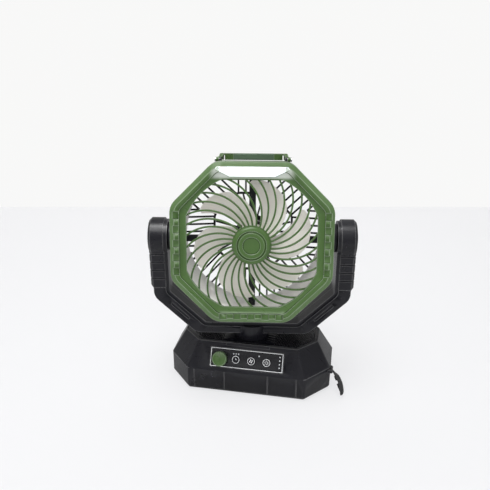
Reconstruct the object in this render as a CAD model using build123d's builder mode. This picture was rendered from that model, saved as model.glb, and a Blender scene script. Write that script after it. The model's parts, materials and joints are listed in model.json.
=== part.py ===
"""Portable camping fan: an octagonal fan head with a lamp, tilting in a yoke that sways on a battery base.

The frame stands on the table: origin under the sway axis, +X to the right of someone in front of the fan,
-Y towards that person, +Z up. Lengths are millimetres, angles are degrees.
"""

from math import acos, cos, hypot, pi, radians, sin, tan
import os

from build123d import *

os.makedirs("parts", exist_ok=True)

# ---------------------------------------------------------------- common walls and fits
WALL = 2.5  # moulded shell wall
FIT_GAP = 0.1  # between pieces screwed or clipped to each other
MOVING_GAP = 0.5  # between pieces that move past each other
SHAFT_GAP = 0.05  # radial, between a shaft and its bore
EDGE = 0.8  # small edge rounding
SCREW_HEAD_R = 3.0
SCREW_HEAD_H = 1.8
SCREW_SHANK_R = 1.4
BOSS_R = 4.2
HALF_KNEE = tan(radians(22.5))  # how a 45 degree knee shifts when its outline is moved in

# ---------------------------------------------------------------- base
BASE_SHIFT = 10.0  # base centre behind the sway axis
BASE_HALF_X = 116.0
BASE_HALF_Y = 63.0
BASE_CUT_X = 33.0
BASE_CUT_Y = 37.0
CREASE_Z = 36.0  # where the upright band turns into the slopes
TOP_Z = 72.0
TOP_HALF_X = 96.0
TOP_HALF_Y = 44.0
TOP_CUT = 26.0
BASE_CORNER_R = 5.0
SEAM_XS = (-74.0, -30.4, 31.2, 71.6)  # vertical seams on the front band
SEAM_W = 0.7
SEAM_DEEP = 0.5
LIP_UP = 39.0  # lip between the middle seams, at the upper edge of the front slope
LIP_H = 4.6
LIP_PROUD = 0.9
FOOT_H = 1.8
FOOT_R = 9.0
FOOT_SEAT = 0.8  # how deep a foot sits in the bottom cover
FOOT_X = 88.0
FOOT_Y = 38.0
COVER_TOP_Z = 5.0  # seam between bottom cover and upper shell
COVER_FLOOR = 3.0
COVER_SHY = 1.4  # bottom cover lies this far inside the shell's outline
COVER_LIP = 3.0
COVER_SCREW_X = 60.0
COVER_SCREW_Y = 55.0
COVER_SCREW_L = 12.0
BASE_BOSS_H = 18.0

TOP_PLATE_H = 2.4
TOP_PLATE_RIM = 4.0  # width of the shell's rim round the top plate
GROOVE_PITCH = 3.2
GROOVE_W = 1.5
GROOVE_DEEP = 0.9
GROOVE_TURN = 30.0  # grooves' direction, from front-back towards the right
GROOVE_CLEAR = 36.0  # half width of the smooth strip under the yoke
GROOVE_RIM = 3.0

# ---------------------------------------------------------------- control panel on the front slope
PANEL_W = 104.0
PANEL_H = 27.0
PANEL_T = 2.4
PANEL_UP = 19.5  # panel centre above the crease, along the slope
PANEL_PROUD = 0.5
PANEL_CORNER_R = 1.5
CONTROL_UP = 18.2  # knob and button centres above the crease
KNOB_X = -36.8
KNOB_R = 10.3
KNOB_H = 11.5
KNOB_BEVEL = 1.2
KNOB_FLUTES = 28
KNOB_FLUTE_R = 0.7
KNOB_SHAFT_R = 3.0
POINTER_W = 1.2
POINTER_L = 6.0
BUTTON_X = (-15.2, 6.6, 28.4)
BUTTON_R = 5.7
BUTTON_GAP = 0.3
BUTTON_PROUD = 0.4
BUTTON_SKIRT = 1.1
BUTTON_SKIRT_T = 1.2
BUTTON_STEM_R = 2.0
BUTTON_TRAVEL = 0.5
DOT_R = 0.9
CHARGE_DOT_X = 46.6
CHARGE_DOT_UP = (12.7, 17.7, 22.7, 27.7)
TIMER_DOT_X = (-18.6, -15.2, -11.8)
TIMER_DOT_UP = 26.2
LAMP_DOT_X = 17.5
BOARD_T = 1.6
BOARD_DEEP = 9.0  # control board's face below the slope
BOARD_POST_R = 2.0
SWITCH_SIDE = 6.0
SWITCH_H = 3.2
POT_SIDE = 12.0
POT_H = 5.0

# ---------------------------------------------------------------- battery, power board and sockets
CELL_R = 9.2
CELL_L = 65.0
CELL_COUNT = 4
CELL_PITCH = 19.4
CELL_NUB_R = 3.0
CELL_NUB_L = 1.0
CELL_X = -61.0
TRAY_WALL = 2.0
POWER_BOARD_X = 70.0
POWER_BOARD_Y = 10.0
POWER_BOARD_W = 80.0
POWER_BOARD_D = 56.0
POWER_BOARD_TOP = 21.0
STANDOFF_IN = 5.0
SOCKET_W = 12.4  # inside width of the wide charging socket
SOCKET_H = 4.8
SOCKET_Y = 16.0
SMALL_SOCKET_W = 8.4
SMALL_SOCKET_H = 2.8
SMALL_SOCKET_Y = -1.0
SOCKET_WALL = 0.7
SOCKET_L = 13.0
BED_Y = 8.0  # middle of the sunk bed of the socket cover, on the right-hand flank
BED_Z = 23.0
BED_W = 43.0
BED_H = 18.0
BED_DEEP = 2.6
BED_WALL = 3.0

FLAP_ROOT = (117.4, -15.0, 32.0)  # where the rubber socket cover hangs from
FLAP_ALONG = (0.459, -0.478, -0.748)  # from its root towards its tip as it hangs open
FLAP_OUT = (0.852, 0.0, 0.523)  # its outer side
FLAP_L = 38.0
FLAP_BULGE = 5.0
FLAP_W = 13.0
FLAP_ROOT_W = 7.0  # of the eye
FLAP_NECK_W = 4.0  # of the strip beside its lugs
FLAP_T = 2.2
FLAP_TAPER = 11.0  # length of the narrow root
FLAP_TIP_CUT = 3.0
FLAP_EYE_R = 2.2
FLAP_LUG_R = 2.4
FLAP_LUG_T = 2.5
FLAP_PIN_R = 1.2
PLUG_AT = (13.5, 27.0)
PLUG_L = (6.4, 11.0)
PLUG_W = (2.6, 4.4)
PLUG_H = 3.2

# ---------------------------------------------------------------- turntable
HUB_R = 25.5
HUB_LIFT = 0.6  # hub above the top plate
HUB_TOP_Z = 95.0
SPIGOT_R = 14.0
CABLE_BORE_R = 8.0
SPIGOT_BOTTOM_Z = 52.0
BEARING_R = 20.0
BEARING_FLANGE_R = 23.0
BEARING_FLANGE_T = 2.0
GEAR_MODULE = 1.0
GEAR_TEETH = 48
PINION_TEETH = 12
PRESSURE_ANGLE = 25.0
ADDENDUM = 0.8  # in modules
DEDENDUM = 1.1
GEAR_SLACK = 0.15  # added to the centre distance
TOOTH_SLACK = 0.06  # taken off each side of a tooth at the pitch circle
GEAR_Z = 55.0
GEAR_H = 5.0
CLIP_T = 1.6
CLIP_R = 18.0
PINION_SHAFT_R = 2.0
SWAY_MOTOR_R = 13.5
SWAY_MOTOR_H = 20.0
SWAY_SHAFT_L = 10.0
SWAY_PLATE_T = 1.6
SWAY_PLATE_HALF = 21.0
SWAY_PLATE_W = 9.0
SWAY_POST_R = 2.5

# ---------------------------------------------------------------- pose of the head at rest
HEAD_TURN = 8.5  # towards the fan's right, of the 45 degrees that it sways each way
HEAD_LOOKS_UP = 11.6
PIVOT_Z = 222.0

# ---------------------------------------------------------------- yoke
HEAD_HALF = 105.0  # front frame, half across its flats
HEAD_TO_ARM = 8.0  # free room between the head and an arm
ARM_INSIDE = HEAD_HALF + HEAD_TO_ARM  # inner faces of the arms from the middle
RIM_W = 5.0  # sunk inner rim of the yoke
RIM_SUNK = 2.0
ARM_ACROSS = 22.0
ARM_OUTSIDE = ARM_INSIDE + ARM_ACROSS
ARM_COVER_PROUD = 3.5
ARM_COVER_OUTSIDE = ARM_OUTSIDE + ARM_COVER_PROUD
ARM_BEVEL = 3.2
ARM_WALL = 3.5
ARM_HEAD_R = 25.5
YOKE_HALF_D = 20.0
ARM_BREAK = -69.0  # arm covers end here, below the pivot
ARM_TONGUE = 6.0
YOKE_KNEE = -75.0  # the arms turn inwards here, inner outline
YOKE_KNEE_CUT = 48.5
YOKE_OUTER_KNEE = -83.0
YOKE_OUTER_CUT = 56.3
YOKE_OUTER_R = 20.0
YOKE_INNER_R = 6.0
ARM_GROOVES = (-19.0, -31.0, -43.0, -55.0)
ARM_GROOVE_W = 2.0
ARM_GROOVE_DEEP = 1.6
SLOT_W = 3.4  # sunk slot along the front of each lower diagonal
SLOT_L = 34.0
SLOT_DEEP = 1.1
SLOT_MID = (99.5, -105.5)
YOKE_SCREWS = ((108.0, -95.0), (45.0, -131.4))
YOKE_SCREW_L = 28.0
PIVOT_SHAFT_R = 8.0
PIVOT_SHAFT_L = 12.8
PIVOT_NUT_R = 12.0
PIVOT_NUT_T = 4.5
PIVOT_NUT_GAP = 0.3  # left for the washer's play
PIVOT_CAP_R = 15.0
PIVOT_CAP_PROUD = 1.5
WASHER_R = 14.0
WASHER_T = 1.5
TRUNNION_R = 19.0
TRUNNION_GAP = 0.4

# ---------------------------------------------------------------- head: frame, lamp and grille
HEAD_DRAFT = 0.2
HEAD_BACK_HALF = HEAD_HALF - HEAD_DRAFT  # half across the flats at the frame's back edge
HEAD_CUT = 56.5
HEAD_CORNER_R = 24.0
FRONT_F = 49.0  # front face of the frame ahead of the pivot
FRAME_D = 21.0
FRAME_FACE_T = 4.0
FRAME_BEVEL = 6.0  # on the front face
FRAME_BEVEL_DEEP = 3.0
OPENING_R = 91.0
OPENING_FLAT = 83.5
STEP_IN = 12.2  # width of the frame's raised outer band
STEP_DEEP = 1.4
NOTCH_PITCH = 18.4
NOTCH_W = 9.3
NOTCH_DEEP = 1.1
NOTCH_COUNT = 5
LENS_TOP = 98.9
LENS_WIDE_UP = 95.6  # where the lens is widest
LENS_BOTTOM = 86.2
LENS_TOP_HALF = 44.5
LENS_WIDE_HALF = 47.5
LENS_BOTTOM_HALF = 28.5
LENS_CORNER_R = 1.2
LENS_PROUD = 0.3
LENS_FLANGE = 1.4
LENS_FLANGE_T = 2.8
LAMP_BOARD_T = 1.2
LED_COUNT = 7
LED_PITCH = 7.5
LED_SIDE = 3.0
LED_H = 0.8

GRILLE_RIBS = 33
RIB_W = 2.4
RIB_DEEP = 3.0
RIB_RADII = (22.0, 55.0, 94.0)
RIB_TURNS = (-3.0, 10.8, 36.0)  # how far a rib has turned anticlockwise at those radii
GRILLE_RING_IN = 91.6
GRILLE_RING_OUT = 97.0
GRILLE_RING_T = 3.6
GRILLE_HUB_R = 25.0
GRILLE_HUB_F = 52.0  # front of the ribs at the hub
GRILLE_MID_R = 60.0
GRILLE_MID_F = 49.6
GRILLE_EDGE_F = 43.8  # front of the ribs under the frame
LAMP_CLEAR_X = 48.5  # the grille stays out of the lamp's place
LAMP_CLEAR_Y = 83.7
LAMP_BAR_W = 1.8
CAP_R = 24.4
CAP_H = 5.8
CAP_EDGE_R = 2.2
CAP_RING_R = 17.0
CAP_RING_W = 1.6
CAP_DIMPLE_R = 11.0
CAP_MARK_DEEP = 0.4

# ---------------------------------------------------------------- head: duct, motor and rotor
DUCT_R = 92.0
DUCT_T = 2.0
DUCT_BACK_F = -27.0  # back end of the duct's sleeve
MOUNT_F = 13.7  # front of the motor mount's spokes
MOUNT_T = 5.0
MOUNT_RING_OUT = 97.0
SPOKE_W = 8.8
SPOKE_END = 98.6
MOUNT_DISC_R = 25.0
MOUNT_LUG_R = 4.4
MOUNT_LUG_AT = 99.3
MOUNT_LUGS = 4
LEDGE_R = 94.2  # shell's inner ledge that carries the motor mount
MOTOR_R = 21.0
MOTOR_BACK_F = -22.0
MOTOR_WALL = 1.5
MOTOR_EDGE_R = 1.2
MOTOR_SEAT_R = 8.5
MOTOR_BEARING_R = 6.5
MOTOR_BEARING_T = 5.0
SHAFT_R = 2.5
MAGNET_R = 15.0
MAGNET_H = 14.0
STATOR_IN = 15.6

ROTOR_R = 80.0
ROTOR_HUB_R = 22.0
ROTOR_HUB_EDGE_R = 3.0
ROTOR_BACK_F = 16.0
ROTOR_HUB_H = 26.0
ROTOR_WALL = 2.2
ROTOR_BOSS_R = 6.0
ROTOR_NUT_R = 5.0
ROTOR_NUT_H = 3.0
BLADE_COUNT = 6
BLADE_TURN = 7.5  # of the first blade at rest
BLADE_T = 1.8
BLADE_MID_F = 27.5
BLADE_BACK_F = 15.6
BLADE_FRONT_F = 39.5
BLADE_LEAN = 16.0  # direction in which the blade's sections follow each other
BLADE_RADII = (12.0, 40.0, 64.0, 92.0)  # of the sections
BLADE_PITCHES = (40.0, 28.0, 20.0, 15.0)
BLADE_SWEEPS = (-8.0, 8.0, 22.0, 34.0)
BLADE_ROOT_R = 20.5
LEADING = ((0.525, 38), (0.775, 48.5), (0.9375, 55.5))  # share of the rotor's radius, direction
TRAILING = ((0.525, -8), (0.75, 5.5))
BLADE_TIP = ((1, 48), (0.9875, 37), (0.925, 23), (0.8375, 12))

# ---------------------------------------------------------------- head: rear shell, rear grille and handle
SHELL_BACK_F = -28.0
SHELL_FRONT_F = 28.0
SHELL_SHY = 1.8  # shell's front end lies inside the frame's back edge
SHELL_FRONT_HALF = HEAD_BACK_HALF - SHELL_SHY
SHELL_DRAFT = 5.0
SHELL_BACK_HALF = SHELL_FRONT_HALF - SHELL_DRAFT
SHELL_LIP = 5.0
SHELL_LIP_T = 2.0
REAR_T = 3.0
REAR_RIM_W = 5.0
REAR_PLATE_HALF = 56.0
REAR_PLATE_F = -42.0
REAR_MID_W = 3.0
REAR_BAR_W = 2.3
REAR_BAR_PITCH = 10.4
REAR_SIDE_BARS = 3  # on each side of a sector's middle bar
REAR_HUB_R = 24.0
REAR_INNER_BARS = 24

HANDLE_PIVOT_F = -6.0
HANDLE_PIVOT_LIFT = 3.636  # pivots above the shell
HANDLE_PIVOT_UP = HANDLE_PIVOT_LIFT + SHELL_BACK_HALF + SHELL_DRAFT * (
    (HANDLE_PIVOT_F - SHELL_BACK_F) / (SHELL_FRONT_F - SHELL_BACK_F)
)
HANDLE_HALF = 47.4  # middle of the legs at the pivots
HANDLE_BAR_HALF = 43.6  # middle of the legs at the bar
HANDLE_LEG_W = 4.2
HANDLE_LEG_T = 4.4
HANDLE_EYE_R = 3.0
HANDLE_REACH = 44.0
HANDLE_BAR_D = 10.5
HANDLE_BAR_UP = 5.2  # bar's top and bottom, from the pivots
HANDLE_BAR_DOWN = -3.4
HANDLE_STRAP_T = 2.2
HANDLE_SLIT_W = 1.7
HANDLE_CORNER_R = 5.0
HANDLE_EDGE_R = 1.2
GRIP_HALF = 27.8
GRIP_T = 1.4
HANDLE_PIN_R = 1.8
HANDLE_PIN_HEAD_T = 1.0
HANDLE_EAR_T = 3.0
HANDLE_EAR_D = 12.0
HANDLE_EAR_H = 8.0

# ---------------------------------------------------------------- planes that follow the pose
turned = radians(HEAD_TURN)
raised = radians(HEAD_LOOKS_UP)
ACROSS = Vector(cos(turned), sin(turned), 0)
AHEAD = Vector(sin(turned), -cos(turned), 0)
FACING = AHEAD * cos(raised) + Vector(0, 0, sin(raised))
PIVOT = Vector(0, 0, PIVOT_Z)
face = Plane(origin=PIVOT, x_dir=ACROSS, z_dir=FACING)  # head: x right, y up, z ahead
upright = Plane(origin=PIVOT, x_dir=ACROSS, z_dir=AHEAD)  # yoke: the same without the tilt
table = Plane(origin=(0, 0, 0), x_dir=ACROSS, z_dir=(0, 0, 1))  # turntable
middle = Plane(origin=(0, BASE_SHIFT, 0), x_dir=(1, 0, 0), z_dir=(0, 0, 1))  # base
flank = Plane(origin=(BASE_HALF_X, 0, 0), x_dir=(0, 1, 0), z_dir=(1, 0, 0))  # base's right-hand side
spin_axis = Axis(PIVOT, FACING)

slope_run = BASE_HALF_Y - TOP_HALF_Y
slope_rise = TOP_Z - CREASE_Z
slope_long = hypot(slope_run, slope_rise)
slope = Plane(
    origin=(0, BASE_SHIFT - BASE_HALF_Y, CREASE_Z),
    x_dir=(1, 0, 0),
    z_dir=(0, -slope_rise / slope_long, slope_run / slope_long),
)


def at(plane, x=0.0, y=0.0, z=0.0):
    """A plane moved along its own axes."""
    return Plane(origin=plane.from_local_coords((x, y, z)), x_dir=plane.x_dir, z_dir=plane.z_dir)


def turned_plane(plane, x, y, z, x_dir, z_dir):
    """A plane at a point given in another plane's axes, with directions given in those axes too."""
    across = plane.x_dir * x_dir[0] + plane.y_dir * x_dir[1] + plane.z_dir * x_dir[2]
    out = plane.x_dir * z_dir[0] + plane.y_dir * z_dir[1] + plane.z_dir * z_dir[2]
    return Plane(origin=plane.from_local_coords((x, y, z)), x_dir=across, z_dir=out)


def sideways(plane, x, y, z, side):
    """A plane that looks out to the right (1) or left (-1) of the head or yoke; its y points up."""
    return turned_plane(plane, x * side, y, z, (0, 0, -side), (side, 0, 0))


def backwards(plane, x, y, z):
    """A plane that looks out of the back of the head or yoke."""
    return turned_plane(plane, x, y, z, (-1, 0, 0), (0, 0, -1))


def last_face(body, plane):
    """The face of a body that lies furthest along a plane's normal."""
    return body.faces().sort_by(Axis(plane.origin, plane.z_dir))[-1]


def octagon(half_x, half_y, cut_x, cut_y, radius=0.0, inset=0.0, mode=Mode.ADD):
    """Draw a chamfered rectangle in the open sketch; inset moves its whole outline in."""
    long = hypot(cut_x, cut_y)
    x = half_x - inset
    y = half_y - inset
    a = cut_x - inset + inset * (long - cut_x) / cut_y
    b = cut_y - inset + inset * (long - cut_y) / cut_x
    with BuildSketch(Plane.XY, mode=Mode.PRIVATE) as shape:
        with BuildLine():
            Polyline(
                (x - a, -y), (x, -y + b), (x, y - b), (x - a, y),
                (-x + a, y), (-x, y - b), (-x, -y + b), (-x + a, -y),
                close=True,
            )
        make_face()
        if radius > inset + EDGE:
            fillet(shape.vertices(), radius - inset)
    add(shape.sketch_local, mode=mode)


def head_octagon(half=HEAD_HALF, inset=0.0, mode=Mode.ADD):
    """Draw the head's outline in the open sketch."""
    octagon(half, half, HEAD_CUT, HEAD_CUT, HEAD_CORNER_R, inset, mode)


def head_solid(back_f, back_half, front_f, front_half, inset=0.0):
    """A drafted octagonal block of the head between two depths."""
    with BuildPart(mode=Mode.PRIVATE) as made:
        with BuildSketch(face.offset(back_f)):
            head_octagon(back_half, inset)
        with BuildSketch(face.offset(front_f)):
            head_octagon(front_half, inset)
        loft()
    return made.part


def ring(plane, outer, height, inner=0.0):
    """A disc or a ring standing on a plane."""
    with BuildPart(mode=Mode.PRIVATE) as made:
        with BuildSketch(plane):
            Circle(outer)
            if inner:
                Circle(inner, mode=Mode.SUBTRACT)
        extrude(amount=height)
    return made.part


def slab(plane, width, depth, height):
    """A rectangular block standing on a plane."""
    with BuildPart(mode=Mode.PRIVATE) as made:
        with BuildSketch(plane):
            Rectangle(width, depth)
        extrude(amount=height)
    return made.part


def screw(plane, length):
    """A pan head screw whose head stands on a plane, with its shank below it."""
    with BuildPart(mode=Mode.PRIVATE) as made:
        with BuildSketch(plane):
            Circle(SCREW_HEAD_R)
        extrude(amount=SCREW_HEAD_H)
        fillet(last_face(made, plane).edges(), EDGE)
        with BuildSketch(plane):
            Circle(SCREW_SHANK_R)
        extrude(amount=-length)
        with BuildSketch(plane.offset(SCREW_HEAD_H)):
            Rectangle(SCREW_HEAD_R, EDGE)
            Rectangle(EDGE, SCREW_HEAD_R)
        extrude(amount=-SCREW_HEAD_H / 2, mode=Mode.SUBTRACT)
    return made.part


def screw_hole(plane, length):
    """What a screw needs cut away: its shank, and its sunk head above the plane."""
    with BuildPart(mode=Mode.PRIVATE) as made:
        with BuildSketch(plane):
            Circle(SCREW_SHANK_R)
        extrude(amount=-length)
        with BuildSketch(plane):
            Circle(SCREW_HEAD_R + FIT_GAP)
        extrude(amount=2 * SCREW_HEAD_H)
    return made.part


def save(builder, name):
    """Label a finished piece and write it."""
    builder.part.label = name
    export_step(builder.part, f"parts/{name}.step")


# ================================================================ base
BAND = (BASE_HALF_X, BASE_HALF_Y, BASE_CUT_X, BASE_CUT_Y, BASE_CORNER_R)
CROWN = (TOP_HALF_X, TOP_HALF_Y, TOP_CUT, TOP_CUT, BASE_CORNER_R)
PLATE_Z = TOP_Z - TOP_PLATE_H
CEILING_Z = PLATE_Z - WALL
FLOOR_Z = FOOT_H + COVER_FLOOR
BOSS_Z = COVER_TOP_Z + COVER_LIP
COVER_SCREWS = [
    (x, BASE_SHIFT + y) for x in (-COVER_SCREW_X, COVER_SCREW_X) for y in (-COVER_SCREW_Y, COVER_SCREW_Y)
]
COVER_SCREW_Z = FOOT_H + SCREW_HEAD_H + FIT_GAP
SWAY_MOTOR_Y = GEAR_MODULE * (GEAR_TEETH + PINION_TEETH) / 2 + GEAR_SLACK
SWAY_MOTOR_Z = GEAR_Z - SWAY_PLATE_T - MOVING_GAP
SOCKETS = (
    (SMALL_SOCKET_Y, SMALL_SOCKET_W, SMALL_SOCKET_H),
    (SOCKET_Y, SOCKET_W, SOCKET_H),
)
flap_eye = Plane(origin=FLAP_ROOT, x_dir=(1, 0, 0), z_dir=(0, -1, 0))


def base_solid(inset, high):
    """The base's upright band and slopes up to a height, moved in by inset."""
    with BuildPart(mode=Mode.PRIVATE) as made:
        with BuildSketch(middle.offset(COVER_TOP_Z)):
            octagon(*BAND, inset)
        extrude(amount=CREASE_Z - COVER_TOP_Z)
        with BuildSketch(middle.offset(CREASE_Z)):
            octagon(*BAND, inset)
        with BuildSketch(middle.offset(high)):
            octagon(*CROWN, inset)
        loft()
    return made.part


with BuildPart() as base_upper_shell:
    add(base_solid(0, TOP_Z))
    add(base_solid(WALL, CEILING_Z), mode=Mode.SUBTRACT)
    with BuildSketch(middle.offset(PLATE_Z)):
        octagon(*CROWN, TOP_PLATE_RIM)
    extrude(amount=2 * TOP_PLATE_H, mode=Mode.SUBTRACT)
    add(ring(table.offset(CEILING_Z - WALL), BEARING_R, 3 * WALL), mode=Mode.SUBTRACT)
    # bosses of the cover screws, and posts that carry the sway motor
    with BuildSketch(Plane.XY.offset(BOSS_Z)):
        with Locations(*COVER_SCREWS):
            Circle(BOSS_R + 2 * EDGE)
            Circle(SCREW_SHANK_R, mode=Mode.SUBTRACT)
    extrude(amount=BASE_BOSS_H)
    with BuildSketch(Plane.XY.offset(SWAY_MOTOR_Z + SWAY_PLATE_T)):
        with Locations((0, SWAY_MOTOR_Y)):
            with GridLocations(2 * (SWAY_PLATE_HALF - SWAY_POST_R), 0, 2, 1):
                Circle(SWAY_POST_R)
    extrude(amount=CEILING_Z - SWAY_MOTOR_Z - SWAY_PLATE_T)
    # sunk bed of the socket cover on a thicker wall, and the socket mouths
    add(slab(at(flank, BED_Y, BED_Z, -WALL), BED_W + 2 * WALL, BED_H + 2 * WALL,
             WALL - BED_DEEP - BED_WALL))
    add(slab(at(flank, BED_Y, BED_Z, -BED_DEEP), BED_W, BED_H, 2 * BED_DEEP), mode=Mode.SUBTRACT)
    for y, width, height in SOCKETS:
        mouth = at(flank, y, POWER_BOARD_TOP + SOCKET_WALL + height / 2, -BED_DEEP - 2 * BED_WALL)
        add(
            slab(mouth, width + 2 * (SOCKET_WALL + FIT_GAP), height + 2 * (SOCKET_WALL + FIT_GAP), 3 * BED_WALL),
            mode=Mode.SUBTRACT,
        )
    # lugs and pin that the socket cover hangs from
    half_eye = FLAP_ROOT_W / 2 + MOVING_GAP
    add(ring(flap_eye.offset(-half_eye), FLAP_EYE_R + MOVING_GAP, 2 * half_eye), mode=Mode.SUBTRACT)
    for start in (-half_eye - FLAP_LUG_T, half_eye):
        with BuildSketch(flap_eye.offset(start)):
            Circle(FLAP_LUG_R)
            with Locations((-FLAP_LUG_R, 0)):
                Rectangle(2 * FLAP_LUG_R, 2 * FLAP_LUG_R)
        extrude(amount=FLAP_LUG_T)
    add(ring(flap_eye.offset(-half_eye), FLAP_PIN_R, 2 * half_eye))
    # sunk seat and window of the control panel
    add(slab(at(slope, 0, PANEL_UP, PANEL_PROUD - PANEL_T), PANEL_W + 2 * FIT_GAP, PANEL_H + 2 * FIT_GAP,
             2 * PANEL_T), mode=Mode.SUBTRACT)
    add(slab(at(slope, 0, PANEL_UP, -BOARD_DEEP), PANEL_W - 2 * WALL, PANEL_H - WALL, BOARD_DEEP),
        mode=Mode.SUBTRACT)
    # lip along the middle of the front slope's upper edge
    lip_left, lip_right = SEAM_XS[1:3]
    add(slab(at(slope, (lip_left + lip_right) / 2, LIP_UP, -EDGE), lip_right - lip_left, LIP_H,
             LIP_PROUD + EDGE))
    # fine vertical seams on the front band
    with BuildSketch(Plane.XY.offset(COVER_TOP_Z)):
        with Locations(*[(x, BASE_SHIFT - BASE_HALF_Y) for x in SEAM_XS]):
            Rectangle(SEAM_W, 2 * SEAM_DEEP)
    extrude(amount=CREASE_Z - COVER_TOP_Z - EDGE, mode=Mode.SUBTRACT)
save(base_upper_shell, "base_upper_shell")

with BuildPart() as base_bottom_cover:
    with BuildSketch(middle.offset(FOOT_H)):
        octagon(*BAND, COVER_SHY)
    extrude(amount=COVER_TOP_Z - FOOT_H)
    chamfer(base_bottom_cover.faces().sort_by(Axis.Z)[0].edges(), EDGE)
    with BuildSketch(middle.offset(FLOOR_Z)):
        octagon(*BAND, WALL + FIT_GAP)
    extrude(amount=COVER_TOP_Z, mode=Mode.SUBTRACT)
    with BuildSketch(middle.offset(FLOOR_Z)):
        octagon(*BAND, WALL + FIT_GAP)
        octagon(*BAND, 2 * WALL, Mode.SUBTRACT)
    extrude(amount=BOSS_Z - FIT_GAP - FLOOR_Z)
    with BuildSketch(Plane.XY.offset(FLOOR_Z)):
        with Locations(*COVER_SCREWS):
            Circle(BOSS_R)
    extrude(amount=BOSS_Z - FLOOR_Z)
    with BuildSketch(Plane.XY.offset(FLOOR_Z)):
        with Locations((POWER_BOARD_X, POWER_BOARD_Y)):
            with GridLocations(POWER_BOARD_W - 2 * STANDOFF_IN, POWER_BOARD_D - 2 * STANDOFF_IN, 2, 2):
                Circle(BOSS_R)
    extrude(amount=POWER_BOARD_TOP - BOARD_T - FLOOR_Z)
    with BuildSketch(middle.offset(FOOT_H)):
        with GridLocations(2 * FOOT_X, 2 * FOOT_Y, 2, 2):
            Circle(FOOT_R)
    extrude(amount=FOOT_SEAT, mode=Mode.SUBTRACT)
    for x, y in COVER_SCREWS:
        under = Plane(origin=(x, y, COVER_SCREW_Z), x_dir=(1, 0, 0), z_dir=(0, 0, -1))
        add(screw_hole(under, COVER_SCREW_L), mode=Mode.SUBTRACT)
save(base_bottom_cover, "base_bottom_cover")

with BuildPart() as rubber_feet:
    with BuildSketch(middle):
        with GridLocations(2 * FOOT_X, 2 * FOOT_Y, 2, 2):
            Circle(FOOT_R)
    extrude(amount=FOOT_H + FOOT_SEAT)
    chamfer(rubber_feet.edges().group_by(Axis.Z)[0], EDGE)
save(rubber_feet, "rubber_feet")

with BuildPart() as bottom_screws:
    for x, y in COVER_SCREWS:
        under = Plane(origin=(x, y, COVER_SCREW_Z), x_dir=(1, 0, 0), z_dir=(0, 0, -1))
        add(screw(under, COVER_SCREW_L))
save(bottom_screws, "bottom_screws")

with BuildPart() as top_plate:
    with BuildSketch(middle.offset(PLATE_Z)):
        octagon(*CROWN, TOP_PLATE_RIM + FIT_GAP)
    extrude(amount=TOP_PLATE_H)
    add(ring(table.offset(PLATE_Z), SPIGOT_R + MOVING_GAP, TOP_PLATE_H), mode=Mode.SUBTRACT)
    # slanted grooves on both sides of the yoke
    groove_count = int(2 * (TOP_HALF_X + TOP_HALF_Y) / GROOVE_PITCH)
    with BuildSketch(middle.offset(TOP_Z)):
        with Locations(Location((0, 0, 0), (0, 0, GROOVE_TURN))):
            with GridLocations(GROOVE_PITCH, 0, groove_count, 1):
                Rectangle(GROOVE_W, 2 * TOP_HALF_X)
        octagon(*CROWN, TOP_PLATE_RIM + GROOVE_RIM, Mode.INTERSECT)
        Rectangle(2 * GROOVE_CLEAR, 2 * TOP_HALF_X, mode=Mode.SUBTRACT)
    extrude(amount=-GROOVE_DEEP, mode=Mode.SUBTRACT)
save(top_plate, "top_plate")

# ---------------------------------------------------------------- control panel
PANEL_BACK = PANEL_PROUD - PANEL_T
DOTS = [(CHARGE_DOT_X, up) for up in CHARGE_DOT_UP]
DOTS += [(x, TIMER_DOT_UP) for x in TIMER_DOT_X + (LAMP_DOT_X,)]
BOARD_W = PANEL_W - 2 * WALL - 2 * EDGE
BOARD_H = PANEL_H - WALL - 2 * EDGE

with BuildPart() as control_panel:
    add(slab(at(slope, 0, PANEL_UP, PANEL_BACK), PANEL_W, PANEL_H, PANEL_T))
    fillet(control_panel.edges().filter_by(Axis(slope.origin, slope.z_dir)), PANEL_CORNER_R)
    with BuildSketch(at(slope, 0, PANEL_UP, -BOARD_DEEP)):
        with GridLocations(BOARD_W - 6 * BOARD_POST_R, BOARD_H - 2 * BOARD_POST_R, 2, 2):
            Circle(BOARD_POST_R)
    extrude(amount=BOARD_DEEP + PANEL_BACK)
    with BuildSketch(slope.offset(PANEL_PROUD)):
        with Locations(*[(x, CONTROL_UP) for x in BUTTON_X]):
            Circle(BUTTON_R + BUTTON_GAP)
        with Locations((KNOB_X, CONTROL_UP)):
            Circle(KNOB_SHAFT_R + MOVING_GAP)
        with Locations(*DOTS):
            Circle(DOT_R)
    extrude(amount=-PANEL_T, mode=Mode.SUBTRACT)
save(control_panel, "control_panel")

with BuildPart() as indicator_lights:
    with BuildSketch(slope.offset(-BOARD_DEEP)):
        with Locations(*DOTS):
            Circle(DOT_R)
    extrude(amount=BOARD_DEEP + PANEL_PROUD + FIT_GAP)
save(indicator_lights, "indicator_lights")

with BuildPart() as control_board:
    add(slab(at(slope, 0, PANEL_UP, -BOARD_DEEP - BOARD_T), BOARD_W, BOARD_H, BOARD_T))
save(control_board, "control_board")

with BuildPart() as button_switches:
    for x in BUTTON_X:
        add(slab(at(slope, x, CONTROL_UP, -BOARD_DEEP), SWITCH_SIDE, SWITCH_SIDE, SWITCH_H))
save(button_switches, "button_switches")

with BuildPart() as potentiometer:
    add(slab(at(slope, KNOB_X, CONTROL_UP, -BOARD_DEEP), POT_SIDE, POT_SIDE, POT_H))
    add(ring(at(slope, KNOB_X, CONTROL_UP, EDGE - BOARD_DEEP), KNOB_SHAFT_R + SHAFT_GAP, POT_H),
        mode=Mode.SUBTRACT)
save(potentiometer, "potentiometer")

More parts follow.
